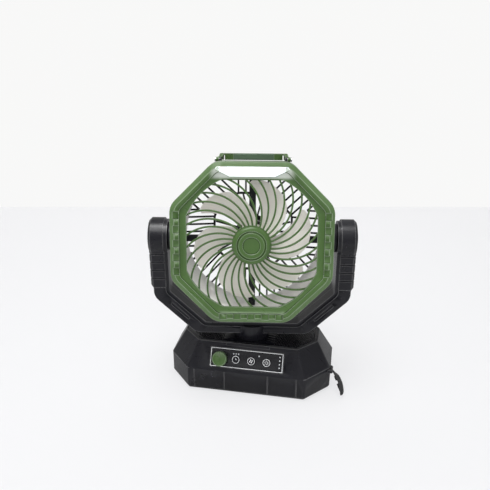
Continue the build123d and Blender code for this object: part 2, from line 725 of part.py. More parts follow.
with BuildPart() as speed_knob:
    knob = at(slope, KNOB_X, CONTROL_UP, PANEL_PROUD + MOVING_GAP)
    add(ring(knob, KNOB_R, KNOB_H))
    chamfer(last_face(speed_knob, knob).edges(), KNOB_BEVEL)
    with BuildSketch(knob):
        with PolarLocations(KNOB_R, KNOB_FLUTES):
            Circle(KNOB_FLUTE_R)
    extrude(amount=KNOB_H - 2 * KNOB_BEVEL, mode=Mode.SUBTRACT)
    # pointer line on its top
    with BuildSketch(knob.offset(KNOB_H)):
        with Locations((0, KNOB_R - KNOB_BEVEL - POINTER_L / 2)):
            Rectangle(POINTER_W, POINTER_L)
    extrude(amount=-EDGE, mode=Mode.SUBTRACT)
    add(ring(knob, KNOB_SHAFT_R, 2 * EDGE - BOARD_DEEP - PANEL_PROUD - MOVING_GAP))
save(speed_knob, "speed_knob")


def push_button(x):
    """A round button cap with a skirt behind the panel and a stem over its switch."""
    top = PANEL_PROUD + BUTTON_PROUD
    skirt = PANEL_BACK - BUTTON_GAP
    stem = SWITCH_H - BOARD_DEEP + BUTTON_TRAVEL + BUTTON_GAP
    with BuildPart(mode=Mode.PRIVATE) as made:
        add(ring(at(slope, x, CONTROL_UP, skirt), BUTTON_R, top - skirt))
        fillet(last_face(made, slope).edges(), EDGE / 2)
        add(ring(at(slope, x, CONTROL_UP, skirt - BUTTON_SKIRT_T), BUTTON_R + BUTTON_SKIRT, BUTTON_SKIRT_T))
        add(ring(at(slope, x, CONTROL_UP, stem), BUTTON_STEM_R, skirt - stem))
    return made.part


with BuildPart() as timer_button:
    add(push_button(BUTTON_X[0]))
save(timer_button, "timer_button")

with BuildPart() as fan_button:
    add(push_button(BUTTON_X[1]))
save(fan_button, "fan_button")

with BuildPart() as light_button:
    add(push_button(BUTTON_X[2]))
save(light_button, "light_button")

# ---------------------------------------------------------------- battery, power board and sockets
CELL_Z = FLOOR_Z + TRAY_WALL + CELL_R
cell_ends = Plane(origin=(CELL_X - CELL_L / 2, BASE_SHIFT, CELL_Z), x_dir=(0, 1, 0), z_dir=(1, 0, 0))

with BuildPart() as battery_cells:
    with BuildSketch(cell_ends):
        with GridLocations(CELL_PITCH, 0, CELL_COUNT, 1):
            Circle(CELL_R)
    extrude(amount=CELL_L)
    with BuildSketch(cell_ends.offset(CELL_L)):
        with GridLocations(CELL_PITCH, 0, CELL_COUNT, 1):
            Circle(CELL_NUB_R)
    extrude(amount=CELL_NUB_L)
save(battery_cells, "battery_cells")

with BuildPart() as battery_tray:
    tray = Plane(origin=(CELL_X + CELL_NUB_L / 2, BASE_SHIFT, FLOOR_Z), x_dir=(1, 0, 0), z_dir=(0, 0, 1))
    add(
        slab(
            tray,
            CELL_L + CELL_NUB_L + 2 * TRAY_WALL,
            CELL_PITCH * (CELL_COUNT - 1) + 2 * (CELL_R + TRAY_WALL),
            CELL_R + TRAY_WALL,
        )
    )
    add(battery_cells.part, mode=Mode.SUBTRACT)
save(battery_tray, "battery_tray")

with BuildPart() as power_board:
    power = Plane(
        origin=(POWER_BOARD_X, POWER_BOARD_Y, POWER_BOARD_TOP - BOARD_T), x_dir=(1, 0, 0), z_dir=(0, 0, 1))
    add(slab(power, POWER_BOARD_W, POWER_BOARD_D, BOARD_T))
save(power_board, "power_board")


def socket_shell(y, width, height):
    """A metal charging socket with its tongue, standing on the power board behind the flank."""
    back = at(flank, y, POWER_BOARD_TOP + SOCKET_WALL + height / 2, -BED_DEEP - FIT_GAP - SOCKET_L)
    with BuildPart(mode=Mode.PRIVATE) as made:
        add(slab(back, width + 2 * SOCKET_WALL, height + 2 * SOCKET_WALL, SOCKET_L))
        add(slab(back.offset(2 * SOCKET_WALL), width, height, SOCKET_L), mode=Mode.SUBTRACT)
        add(slab(back.offset(SOCKET_WALL), width - 2 * SOCKET_WALL, height / 4, SOCKET_L - 3 * SOCKET_WALL))
    return made.part


with BuildPart() as charging_sockets:
    for y, width, height in SOCKETS:
        add(socket_shell(y, width, height))
save(charging_sockets, "charging_sockets")

# ---------------------------------------------------------------- rubber cover of the sockets
flap_out = Vector(*FLAP_OUT)
flap_along = Vector(*FLAP_ALONG)
flap_edge = Plane(origin=FLAP_ROOT, x_dir=flap_along, z_dir=flap_along.cross(flap_out))
flap_plan = Plane(origin=FLAP_ROOT, x_dir=flap_along, z_dir=flap_out)

with BuildPart() as port_cover:
    # a curved strip with a plug for each socket
    with BuildSketch(flap_edge.offset(-FLAP_W / 2)):
        with BuildLine():
            over = ThreePointArc((0, FLAP_T / 2), (FLAP_L / 2, FLAP_BULGE + FLAP_T / 2), (FLAP_L, FLAP_T / 2))
            under = ThreePointArc((0, -FLAP_T / 2), (FLAP_L / 2, FLAP_BULGE - FLAP_T / 2), (FLAP_L, -FLAP_T / 2))
            Line(over @ 0, under @ 0)
            Line(over @ 1, under @ 1)
        make_face()
    extrude(amount=FLAP_W)
    # the strip is narrow at its root and has cut corners at its tip
    with BuildSketch(flap_plan.offset(-FLAP_L / 2)):
        with BuildLine():
            Polyline(
                (-FLAP_T, -FLAP_NECK_W / 2), (FLAP_TAPER / 2, -FLAP_NECK_W / 2), (FLAP_TAPER, -FLAP_W / 2),
                (FLAP_L - FLAP_TIP_CUT, -FLAP_W / 2), (FLAP_L, FLAP_TIP_CUT - FLAP_W / 2),
                (FLAP_L, FLAP_W / 2 - FLAP_TIP_CUT), (FLAP_L - FLAP_TIP_CUT, FLAP_W / 2),
                (FLAP_TAPER, FLAP_W / 2), (FLAP_TAPER / 2, FLAP_NECK_W / 2), (-FLAP_T, FLAP_NECK_W / 2),
                close=True,
            )
        make_face()
    extrude(amount=FLAP_L, mode=Mode.INTERSECT)
    for along, long, wide in zip(PLUG_AT, PLUG_L, PLUG_W):
        rise = FLAP_BULGE * (1 - (2 * along / FLAP_L - 1) ** 2)
        add(slab(at(flap_plan, along, 0, rise), long, wide, -PLUG_H - FLAP_T / 2))
    add(ring(flap_eye.offset(-FLAP_ROOT_W / 2), FLAP_EYE_R, FLAP_ROOT_W))
    add(ring(flap_eye.offset(-FLAP_ROOT_W / 2), FLAP_PIN_R + SHAFT_GAP, FLAP_ROOT_W), mode=Mode.SUBTRACT)
save(port_cover, "port_cover")

# ---------------------------------------------------------------- turntable
GEAR_TOP = GEAR_Z + GEAR_H
gear_plane = Plane(origin=(0, 0, GEAR_Z), x_dir=(0, 1, 0), z_dir=(0, 0, 1))
pinion_plane = Plane(origin=(0, SWAY_MOTOR_Y, GEAR_Z), x_dir=(0, -1, 0), z_dir=(0, 0, 1))


def gear_tooth(teeth):
    """One involute tooth that points along +X, from inside its root circle to its tip circle."""
    pitch = GEAR_MODULE * teeth / 2
    tip = pitch + ADDENDUM * GEAR_MODULE
    root = pitch - DEDENDUM * GEAR_MODULE
    base = pitch * cos(radians(PRESSURE_ANGLE))
    start = max(base, root)
    sunk = root - GEAR_MODULE / 2

    def roll(radius):
        angle = acos(base / radius)
        return tan(angle) - angle

    half = pi / (2 * teeth) - TOOTH_SLACK / pitch + roll(pitch)
    radii = [start + (tip - start) * step / 4 for step in range(5)]
    side = [(r * cos(half - roll(r)), r * sin(half - roll(r))) for r in radii]
    with BuildSketch(Plane.XY, mode=Mode.PRIVATE) as shape:
        with BuildLine():
            upper = Spline(*side)
            lower = Spline(*[(x, -y) for x, y in side])
            Line(upper @ 1, lower @ 1)
            Polyline(upper @ 0, (sunk, side[0][1]), (sunk, -side[0][1]), lower @ 0)
        make_face()
    return shape.sketch_local


def gear(plane, teeth, phase, bore):
    """A spur gear standing on a plane; phase turns its teeth."""
    with BuildPart(mode=Mode.PRIVATE) as made:
        with BuildSketch(plane):
            Circle(GEAR_MODULE * (teeth / 2 - DEDENDUM))
            with PolarLocations(0, teeth, start_angle=phase):
                add(gear_tooth(teeth))
            if bore:
                Circle(bore, mode=Mode.SUBTRACT)
        extrude(amount=GEAR_H)
    return made.part


with BuildPart() as turntable_bearing:
    bearing = table.offset(GEAR_TOP + MOVING_GAP)
    add(ring(bearing, BEARING_R, PLATE_Z - GEAR_TOP - MOVING_GAP, SPIGOT_R + SHAFT_GAP))
    add(ring(table.offset(CEILING_Z), BEARING_FLANGE_R, -BEARING_FLANGE_T, SPIGOT_R + SHAFT_GAP))
save(turntable_bearing, "turntable_bearing")

with BuildPart() as sway_motor:
    motor_top = Plane(origin=(0, SWAY_MOTOR_Y, SWAY_MOTOR_Z), x_dir=(1, 0, 0), z_dir=(0, 0, 1))
    add(ring(motor_top, SWAY_MOTOR_R, -SWAY_MOTOR_H))
    with BuildSketch(motor_top):
        SlotOverall(2 * SWAY_PLATE_HALF, SWAY_PLATE_W)
    extrude(amount=SWAY_PLATE_T)
    add(ring(motor_top.offset(SWAY_PLATE_T), PINION_SHAFT_R + SHAFT_GAP, -SWAY_SHAFT_L - SWAY_PLATE_T),
        mode=Mode.SUBTRACT)
save(sway_motor, "sway_motor")

with BuildPart() as sway_pinion:
    add(gear(pinion_plane, PINION_TEETH, 180 / PINION_TEETH, 0))
    add(ring(pinion_plane, PINION_SHAFT_R, -SWAY_SHAFT_L))
save(sway_pinion, "sway_pinion")

with BuildPart() as sway_gear:
    add(gear(gear_plane, GEAR_TEETH, 0, SPIGOT_R))
save(sway_gear, "sway_gear")

with BuildPart() as retaining_clip:
    add(ring(table.offset(GEAR_Z), CLIP_R, -CLIP_T, SPIGOT_R))
save(retaining_clip, "retaining_clip")

# ================================================================ yoke
BAR_BOTTOM = YOKE_OUTER_KNEE - YOKE_OUTER_CUT
BAR_TOP = YOKE_KNEE - YOKE_KNEE_CUT
RIM_HALF_D = YOKE_HALF_D - RIM_SUNK


def yoke_outline(top, half, knee, cut, radius, mode=Mode.ADD):
    """Draw one outline of the U-shaped yoke in the open sketch, from its bar up to a height."""
    with BuildSketch(Plane.XY, mode=Mode.PRIVATE) as shape:
        with BuildLine():
            Polyline(
                (half, top), (half, knee), (half - cut, knee - cut),
                (cut - half, knee - cut), (-half, knee), (-half, top),
                close=True,
            )
        make_face()
        fillet(shape.vertices().filter_by(lambda corner: corner.Y < top - EDGE), radius)
    add(shape.sketch_local, mode=mode)


def yoke_band(top, inner_inset, outer_inset):
    """Draw the part of the U between its inner and outer outlines, both moved into it."""
    yoke_outline(
        top,
        ARM_OUTSIDE - outer_inset,
        YOKE_OUTER_KNEE + HALF_KNEE * outer_inset,
        YOKE_OUTER_CUT - (1 - HALF_KNEE) * outer_inset,
        YOKE_OUTER_R - outer_inset,
    )
    yoke_outline(
        top + 2 * EDGE,
        ARM_INSIDE + inner_inset,
        YOKE_KNEE - HALF_KNEE * inner_inset,
        YOKE_KNEE_CUT + (1 - HALF_KNEE) * inner_inset,
        YOKE_INNER_R + inner_inset,
        Mode.SUBTRACT,
    )


def arm_side(inset):
    """Draw the side view of an arm's upper part: a round head on a straight stem."""
    Circle(ARM_HEAD_R - inset)
    with Locations((0, (ARM_BREAK + inset) / 2)):
        Rectangle(2 * (YOKE_HALF_D - inset), -ARM_BREAK - inset)


def yoke_core():
    """Both halves of the yoke's body in one."""
    with BuildPart(mode=Mode.PRIVATE) as core:
        with BuildSketch(upright):
            yoke_band(ARM_BREAK, RIM_W, 0)
        extrude(amount=YOKE_HALF_D, both=True)
        with BuildSketch(upright):
            yoke_band(ARM_BREAK, 0, RIM_W)
        extrude(amount=RIM_HALF_D, both=True)
        with BuildSketch(upright):
            yoke_band(ARM_BREAK - WALL, WALL, WALL)
        extrude(amount=RIM_HALF_D - WALL, both=True, mode=Mode.SUBTRACT)
        for side in (-1, 1):
            plate = sideways(upright, ARM_INSIDE, 0, 0, side)
            with BuildSketch(plate):
                arm_side(RIM_SUNK)
                with Locations((0, ARM_BREAK)):
                    Rectangle(2 * RIM_HALF_D, ARM_TONGUE)
                Circle(PIVOT_SHAFT_R + SHAFT_GAP, mode=Mode.SUBTRACT)
            extrude(amount=RIM_W)
            for x, y in YOKE_SCREWS:
                add(ring(at(upright, side * x, y, EDGE - RIM_HALF_D), BOSS_R, 2 * (RIM_HALF_D - EDGE)))
                add(screw_hole(backwards(upright, side * x, y, -RIM_HALF_D), YOKE_SCREW_L),
                    mode=Mode.SUBTRACT)
            with BuildSketch(upright.offset(YOKE_HALF_D)):
                with Locations(Location((side * SLOT_MID[0], SLOT_MID[1], 0), (0, 0, side * 45))):
                    SlotOverall(SLOT_L, SLOT_W)
            extrude(amount=-SLOT_DEEP, mode=Mode.SUBTRACT)
        # way for the cable from the base
        add(ring(table.offset(PIVOT_Z + BAR_BOTTOM - WALL), CABLE_BORE_R, 3 * WALL), mode=Mode.SUBTRACT)
    return core.part


core_solid = yoke_core()

with BuildPart() as yoke_front:
    add(core_solid)
    split(bisect_by=upright, keep=Keep.TOP)
save(yoke_front, "yoke_front")

with BuildPart() as yoke_rear:
    add(core_solid)
    split(bisect_by=upright, keep=Keep.BOTTOM)
save(yoke_rear, "yoke_rear")


def arm_cover(side):
    """The grooved outer cover of one arm, hollow towards the arm."""
    base = sideways(upright, ARM_INSIDE + RIM_W, 0, 0, side)
    thick = ARM_COVER_OUTSIDE - ARM_INSIDE - RIM_W
    with BuildPart(mode=Mode.PRIVATE) as cover:
        with BuildSketch(base):
            arm_side(0)
        extrude(amount=thick)
        chamfer(last_face(cover, base).edges(), ARM_BEVEL)
        with BuildSketch(base):
            arm_side(ARM_WALL)
        extrude(amount=thick - ARM_WALL, mode=Mode.SUBTRACT)
        for up in ARM_GROOVES:
            with BuildSketch(turned_plane(base, 0, up - ARM_GROOVE_W / 2, 0, (1, 0, 0), (0, 1, 0))):
                Rectangle(3 * YOKE_HALF_D, 3 * thick)
                Rectangle(2 * (YOKE_HALF_D - ARM_GROOVE_DEEP), 2 * (thick - ARM_GROOVE_DEEP),
                          mode=Mode.SUBTRACT)
            extrude(amount=ARM_GROOVE_W, mode=Mode.SUBTRACT)
        add(ring(base, PIVOT_CAP_R, 2 * thick), mode=Mode.SUBTRACT)
    return cover.part


def pivot_cap(side):
    """The round cap that closes an arm cover over its pivot."""
    base = sideways(upright, ARM_COVER_OUTSIDE - ARM_WALL, 0, 0, side)
    with BuildPart(mode=Mode.PRIVATE) as cap:
        add(ring(base, PIVOT_CAP_R, ARM_WALL + PIVOT_CAP_PROUD))
        fillet(last_face(cap, base).edges(), EDGE)
    return cap.part


with BuildPart() as arm_cover_left:
    add(arm_cover(-1))
save(arm_cover_left, "arm_cover_left")

with BuildPart() as arm_cover_right:
    add(arm_cover(1))
save(arm_cover_right, "arm_cover_right")

with BuildPart() as yoke_hub:
    hub = table.offset(TOP_Z + HUB_LIFT)
    add(ring(hub, HUB_R, HUB_TOP_Z - TOP_Z - HUB_LIFT))
    fillet(yoke_hub.faces().sort_by(Axis.Z)[-1].edges(), EDGE)
    add(slab(table.offset(PIVOT_Z + BAR_BOTTOM), 3 * HUB_R, 2 * YOKE_HALF_D, HUB_TOP_Z), mode=Mode.SUBTRACT)
    add(ring(hub, SPIGOT_R, SPIGOT_BOTTOM_Z - TOP_Z - HUB_LIFT))
    add(ring(table.offset(SPIGOT_BOTTOM_Z), CABLE_BORE_R, HUB_TOP_Z), mode=Mode.SUBTRACT)
save(yoke_hub, "yoke_hub")

with BuildPart() as friction_washers:
    for side in (-1, 1):
        add(ring(sideways(upright, ARM_INSIDE + RIM_W, 0, 0, side), WASHER_R, WASHER_T,
                 PIVOT_SHAFT_R + SHAFT_GAP))
save(friction_washers, "friction_washers")

with BuildPart() as pivot_caps:
    for side in (-1, 1):
        add(pivot_cap(side))
save(pivot_caps, "pivot_caps")

with BuildPart() as yoke_screws:
    for side in (-1, 1):
        for x, y in YOKE_SCREWS:
            add(screw(backwards(upright, side * x, y, -RIM_HALF_D), YOKE_SCREW_L))
save(yoke_screws, "yoke_screws")

# ================================================================ head: frame, lamp and grille
FRAME_BACK_F = FRONT_F - FRAME_D
FACE_BACK_F = FRONT_F - FRAME_FACE_T
LAMP_BACK_F = FACE_BACK_F - LENS_FLANGE_T - LAMP_BOARD_T


def lamp_outline(grow=0.0, radius=0.0, mode=Mode.ADD):
    """Draw the lamp's six-sided outline in the open sketch, widened by grow."""
    with BuildSketch(Plane.XY, mode=Mode.PRIVATE) as shape:
        with BuildLine():
            Polyline(
                (LENS_BOTTOM_HALF, LENS_BOTTOM), (LENS_WIDE_HALF, LENS_WIDE_UP), (LENS_TOP_HALF, LENS_TOP),
                (-LENS_TOP_HALF, LENS_TOP), (-LENS_WIDE_HALF, LENS_WIDE_UP), (-LENS_BOTTOM_HALF, LENS_BOTTOM),
                close=True,
            )
        make_face()
        if grow:
            offset(amount=grow, kind=Kind.INTERSECTION, mode=Mode.REPLACE)
        if radius:
            fillet(shape.vertices(), radius)
    add(shape.sketch_local, mode=mode)


def lamp_room(depth):
    """The block ahead of a depth that the grille and duct leave to the lamp."""
    place = at(face, 0, (LAMP_CLEAR_Y + HEAD_HALF) / 2, depth)
    return slab(place, 2 * LAMP_CLEAR_X, HEAD_HALF - LAMP_CLEAR_Y, FRONT_F)


with BuildPart() as front_frame:
    add(head_solid(FRAME_BACK_F, HEAD_BACK_HALF, FRONT_F, HEAD_HALF))
    front = last_face(front_frame, face)
    chamfer(front.outer_wire().edges(), FRAME_BEVEL, FRAME_BEVEL_DEEP, reference=front)
    add(head_solid(FRAME_BACK_F, HEAD_BACK_HALF, FACE_BACK_F, HEAD_HALF, WALL), mode=Mode.SUBTRACT)
    with BuildSketch(face.offset(FRONT_F)):
        Circle(OPENING_R)
        Rectangle(2 * OPENING_FLAT, 2 * OPENING_FLAT, mode=Mode.INTERSECT)
    extrude(amount=-2 * FRAME_FACE_T, mode=Mode.SUBTRACT)
    with BuildSketch(face.offset(FRONT_F)):
        head_octagon(inset=STEP_IN)
    extrude(amount=-STEP_DEEP, mode=Mode.SUBTRACT)
    with BuildSketch(face.offset(FRONT_F)):
        lamp_outline(0, LENS_CORNER_R)
    extrude(amount=-2 * FRAME_FACE_T, mode=Mode.SUBTRACT)
    # notches across the raised band, left, right and below
    with BuildSketch(face.offset(FRONT_F)):
        for x, y, angle in ((-1, 0, 0), (1, 0, 0), (0, -1, 90)):
            with Locations(Location((x * HEAD_HALF, y * HEAD_HALF, 0), (0, 0, angle))):
                with GridLocations(0, NOTCH_PITCH, 1, NOTCH_COUNT):
                    Rectangle(2 * STEP_IN, NOTCH_W)
    extrude(amount=-NOTCH_DEEP, mode=Mode.SUBTRACT)
save(front_frame, "front_frame")

with BuildPart() as lamp_lens:
    with BuildSketch(face.offset(FACE_BACK_F)):
        lamp_outline(-FIT_GAP, LENS_CORNER_R)
    extrude(amount=FRAME_FACE_T + LENS_PROUD)
    fillet(last_face(lamp_lens, face).edges(), EDGE)
    with BuildSketch(face.offset(FACE_BACK_F)):
        lamp_outline(LENS_FLANGE)
        lamp_outline(-LENS_FLANGE, mode=Mode.SUBTRACT)
        head_octagon(HEAD_BACK_HALF, WALL + FIT_GAP, Mode.INTERSECT)
    extrude(amount=-LENS_FLANGE_T)
save(lamp_lens, "lamp_lens")

with BuildPart() as lamp_board:
    with BuildSketch(face.offset(LAMP_BACK_F)):
        lamp_outline(LENS_FLANGE)
        head_octagon(HEAD_BACK_HALF, WALL + FIT_GAP, Mode.INTERSECT)
    extrude(amount=LAMP_BOARD_T)
save(lamp_board, "lamp_board")

with BuildPart() as lamp_leds:
    with BuildSketch(at(face, 0, (LENS_TOP + LENS_BOTTOM) / 2, LAMP_BACK_F + LAMP_BOARD_T)):
        with GridLocations(LED_PITCH, 0, LED_COUNT, 1):
            Rectangle(LED_SIDE, LED_SIDE)
    extrude(amount=LED_H)
save(lamp_leds, "lamp_leds")


def swept(radius, angle):
    """A point at a radius that has turned anticlockwise from straight up."""
    return -radius * sin(radians(angle)), radius * cos(radians(angle))


with BuildPart() as front_grille:
    with BuildSketch(face):
        with BuildLine(mode=Mode.PRIVATE) as rib:
            ThreePointArc(*[swept(radius, angle) for radius, angle in zip(RIB_RADII, RIB_TURNS)])
        with PolarLocations(0, GRILLE_RIBS):
            SlotArc(rib.edges()[0], RIB_W)
        Circle(GRILLE_HUB_R)
        with Locations((0, LAMP_CLEAR_Y)):
            Rectangle(2 * LAMP_CLEAR_X, 2 * LAMP_BAR_W)
        Circle(GRILLE_RING_IN + EDGE, mode=Mode.INTERSECT)
    extrude(amount=FRONT_F + GRILLE_HUB_F)
    # the ribs' shallow dome
    with BuildSketch(turned_plane(face, 0, 0, 0, (1, 0, 0), (0, -1, 0))):
        with BuildLine():
            over = ThreePointArc(
                (GRILLE_HUB_R, GRILLE_HUB_F), (GRILLE_MID_R, GRILLE_MID_F), (GRILLE_RING_OUT, GRILLE_EDGE_F))
            under = ThreePointArc(
                (GRILLE_HUB_R, GRILLE_HUB_F - RIB_DEEP),
                (GRILLE_MID_R, GRILLE_MID_F - RIB_DEEP),
                (GRILLE_RING_OUT, GRILLE_EDGE_F - RIB_DEEP),
            )
            Line(over @ 1, under @ 1)
            Polyline(over @ 0, (0, GRILLE_HUB_F), (0, GRILLE_HUB_F - RIB_DEEP), under @ 0)
        make_face()
    revolve(axis=spin_axis, mode=Mode.INTERSECT)
    add(ring(face.offset(FACE_BACK_F), GRILLE_RING_OUT, -GRILLE_RING_T, GRILLE_RING_IN))
    add(lamp_room(MOUNT_F), mode=Mode.SUBTRACT)
    add(front_frame.part, mode=Mode.SUBTRACT)
save(front_grille, "front_grille")

with BuildPart() as hub_cap:
    add(ring(face.offset(GRILLE_HUB_F), CAP_R, CAP_H))
    fillet(last_face(hub_cap, face).edges(), CAP_EDGE_R)
    with BuildSketch(face.offset(GRILLE_HUB_F + CAP_H)):
        Circle(CAP_RING_R + CAP_RING_W)
        Circle(CAP_RING_R, mode=Mode.SUBTRACT)
        Circle(CAP_DIMPLE_R)
    extrude(amount=-CAP_MARK_DEEP, mode=Mode.SUBTRACT)
save(hub_cap, "hub_cap")

# ---------------------------------------------------------------- duct, motor and its mount
LEDGE_F = MOUNT_F - MOUNT_T
STATOR_F = MOTOR_BACK_F + MOTOR_WALL + MOTOR_BEARING_T + EDGE

with BuildPart() as air_duct:
    duct_back = face.offset(DUCT_BACK_F)
    add(ring(duct_back, DUCT_R + DUCT_T, FACE_BACK_F - GRILLE_RING_T - DUCT_BACK_F, DUCT_R))
    add(lamp_room(LAMP_BACK_F - MOVING_GAP), mode=Mode.SUBTRACT)
    # slots that let the duct down over the mount's spokes
    with BuildSketch(duct_back):
        Rectangle(2 * HEAD_HALF, SPOKE_W + 2 * FIT_GAP)
        Rectangle(SPOKE_W + 2 * FIT_GAP, 2 * HEAD_HALF)
    extrude(amount=MOUNT_F - DUCT_BACK_F, mode=Mode.SUBTRACT)
save(air_duct, "air_duct")

with BuildPart() as motor_mount:
    with BuildSketch(face.offset(LEDGE_F)):
        Circle(MOUNT_RING_OUT)
        Circle(DUCT_R + DUCT_T + FIT_GAP, mode=Mode.SUBTRACT)
        with PolarLocations(MOUNT_LUG_AT, MOUNT_LUGS, start_angle=22.5):
            Circle(MOUNT_LUG_R)
        Rectangle(2 * SPOKE_END, SPOKE_W)
        Rectangle(SPOKE_W, 2 * SPOKE_END)
        Circle(MOUNT_DISC_R)
        Circle(MOTOR_BEARING_R, mode=Mode.SUBTRACT)
        with PolarLocations(MOUNT_LUG_AT, MOUNT_LUGS, start_angle=22.5):
            Circle(SCREW_SHANK_R, mode=Mode.SUBTRACT)
    extrude(amount=MOUNT_T)
save(motor_mount, "motor_mount")

with BuildPart() as mount_screws:
    with BuildSketch(face.offset(MOUNT_F)):
        with PolarLocations(MOUNT_LUG_AT, MOUNT_LUGS, start_angle=22.5):
            Circle(SCREW_HEAD_R)
    extrude(amount=SCREW_HEAD_H)
    with BuildSketch(face.offset(MOUNT_F)):
        with PolarLocations(MOUNT_LUG_AT, MOUNT_LUGS, start_angle=22.5):
            Circle(SCREW_SHANK_R)
    extrude(amount=-MOUNT_T - WALL)
save(mount_screws, "mount_screws")

with BuildPart() as motor_can:
    add(ring(face.offset(MOTOR_BACK_F), MOTOR_R, LEDGE_F - MOTOR_BACK_F - MOTOR_WALL))
    fillet(motor_can.faces().sort_by(spin_axis)[0].edges(), MOTOR_EDGE_R)
    can_floor = face.offset(MOTOR_BACK_F + MOTOR_WALL)
    add(ring(can_floor, MOTOR_R - MOTOR_WALL, LEDGE_F - MOTOR_BACK_F), mode=Mode.SUBTRACT)
    add(ring(can_floor, MOTOR_SEAT_R, MOTOR_BEARING_T, MOTOR_BEARING_R))
save(motor_can, "motor_can")

with BuildPart() as motor_end_bell:
    add(ring(face.offset(LEDGE_F), MOTOR_R, -MOTOR_WALL, MOTOR_BEARING_R))
    add(ring(face.offset(LEDGE_F), MOTOR_SEAT_R, -MOTOR_BEARING_T, MOTOR_BEARING_R))
save(motor_end_bell, "motor_end_bell")

with BuildPart() as motor_bearings:
    add(ring(can_floor, MOTOR_BEARING_R, MOTOR_BEARING_T, SHAFT_R + SHAFT_GAP))
    add(ring(face.offset(LEDGE_F), MOTOR_BEARING_R, -MOTOR_BEARING_T, SHAFT_R + SHAFT_GAP))
save(motor_bearings, "motor_bearings")

with BuildPart() as motor_stator:
    add(ring(face.offset(STATOR_F), MOTOR_R - MOTOR_WALL, MAGNET_H, STATOR_IN))
save(motor_stator, "motor_stator")

with BuildPart() as magnet_rotor:
    add(ring(face.offset(STATOR_F), MAGNET_R, MAGNET_H, SHAFT_R))
save(magnet_rotor, "magnet_rotor")

with BuildPart() as motor_shaft:
    shaft_back = MOTOR_BACK_F + MOTOR_WALL + MOVING_GAP
    shaft_front = ROTOR_BACK_F + ROTOR_HUB_H + ROTOR_NUT_H
    add(ring(face.offset(shaft_back), SHAFT_R, shaft_front - shaft_back))
    chamfer(last_face(motor_shaft, face).edges(), EDGE / 2)
save(motor_shaft, "motor_shaft")


# ---------------------------------------------------------------- bladed rotor
def blade_section(radius, pitch, sweep):
    """The plane of one blade section: its x runs along the blade's chord."""
    lean = radians(BLADE_LEAN)
    x, y = swept(radius, sweep)
    slant = radians(pitch)
    chord = (cos(lean) * cos(slant), sin(lean) * cos(slant), sin(slant))
    return turned_plane(face, x, y, BLADE_MID_F, chord, (-sin(lean), cos(lean), 0))


def blade():
    """One blade: a twisted plate, cut to the blade's outline as seen from the front."""
    with BuildPart(mode=Mode.PRIVATE) as made:
        for radius, pitch, sweep in zip(BLADE_RADII, BLADE_PITCHES, BLADE_SWEEPS):
            with BuildSketch(blade_section(radius, pitch, sweep)):
                Rectangle(2.4 * ROTOR_R, BLADE_T)
        loft()
        with BuildSketch(face.offset(BLADE_BACK_F)):
            with BuildLine():
                leading = Spline(swept(BLADE_ROOT_R, 26), *[swept(ROTOR_R * r, turn) for r, turn in LEADING])
                trailing = Spline(swept(BLADE_ROOT_R, -24), *[swept(ROTOR_R * r, turn) for r, turn in TRAILING])
                Spline(leading @ 1, *[swept(ROTOR_R * r, turn) for r, turn in BLADE_TIP], trailing @ 1)
                Line(leading @ 0, trailing @ 0)
            make_face()
        extrude(amount=BLADE_FRONT_F - BLADE_BACK_F, mode=Mode.INTERSECT)
    return made.part


with BuildPart() as fan_rotor:
    rotor_back = face.offset(ROTOR_BACK_F)
    one_blade = blade()
    for step in range(BLADE_COUNT):
        add(one_blade.rotate(spin_axis, BLADE_TURN + 360 / BLADE_COUNT * step))
    add(ring(rotor_back, ROTOR_HUB_R, ROTOR_HUB_H))
    fillet(last_face(fan_rotor, face).edges(), ROTOR_HUB_EDGE_R)
    add(ring(rotor_back.offset(BLADE_BACK_F - ROTOR_BACK_F), ROTOR_HUB_R - ROTOR_WALL,
             ROTOR_HUB_H - ROTOR_WALL), mode=Mode.SUBTRACT)
    add(ring(rotor_back, ROTOR_BOSS_R, ROTOR_HUB_H - ROTOR_WALL))
    add(ring(rotor_back, SHAFT_R, ROTOR_HUB_H), mode=Mode.SUBTRACT)
save(fan_rotor, "fan_rotor")

with BuildPart() as rotor_nut:
    with BuildSketch(rotor_back.offset(ROTOR_HUB_H)):
        RegularPolygon(ROTOR_NUT_R, 6)
        Circle(SHAFT_R, mode=Mode.SUBTRACT)
    extrude(amount=ROTOR_NUT_H - EDGE)
save(rotor_nut, "rotor_nut")

# ---------------------------------------------------------------- rear shell, rear grille and pivots
shell_block = head_solid(SHELL_BACK_F, SHELL_BACK_HALF, SHELL_FRONT_F, SHELL_FRONT_HALF)

with BuildPart() as rear_shell:
    add(shell_block)
    add(head_solid(SHELL_BACK_F, SHELL_BACK_HALF, SHELL_FRONT_F, SHELL_FRONT_HALF, WALL), mode=Mode.SUBTRACT)
    # ledge for the motor mount
    with BuildSketch(face.offset(LEDGE_F)):
        head_octagon(SHELL_BACK_HALF + WALL / 2)
        Circle(LEDGE_R, mode=Mode.SUBTRACT)
        with PolarLocations(MOUNT_LUG_AT, MOUNT_LUGS, start_angle=22.5):
            Circle(SCREW_SHANK_R, mode=Mode.SUBTRACT)
    extrude(amount=-WALL)
    # lip inside the front frame
    with BuildSketch(face.offset(SHELL_FRONT_F)):
        head_octagon(HEAD_BACK_HALF, WALL + FIT_GAP)
        head_octagon(HEAD_BACK_HALF, WALL + FIT_GAP + SHELL_LIP_T, Mode.SUBTRACT)
    extrude(amount=SHELL_LIP)
save(rear_shell, "rear_shell")


def rear_middle(inset=0.0, mode=Mode.ADD):
    """Draw the outline of the rear grille's flat middle in the open sketch."""
    share = REAR_PLATE_HALF / SHELL_BACK_HALF
    octagon(
        REAR_PLATE_HALF, REAR_PLATE_HALF, HEAD_CUT * share, HEAD_CUT * share, HEAD_CORNER_R * share, inset, mode)


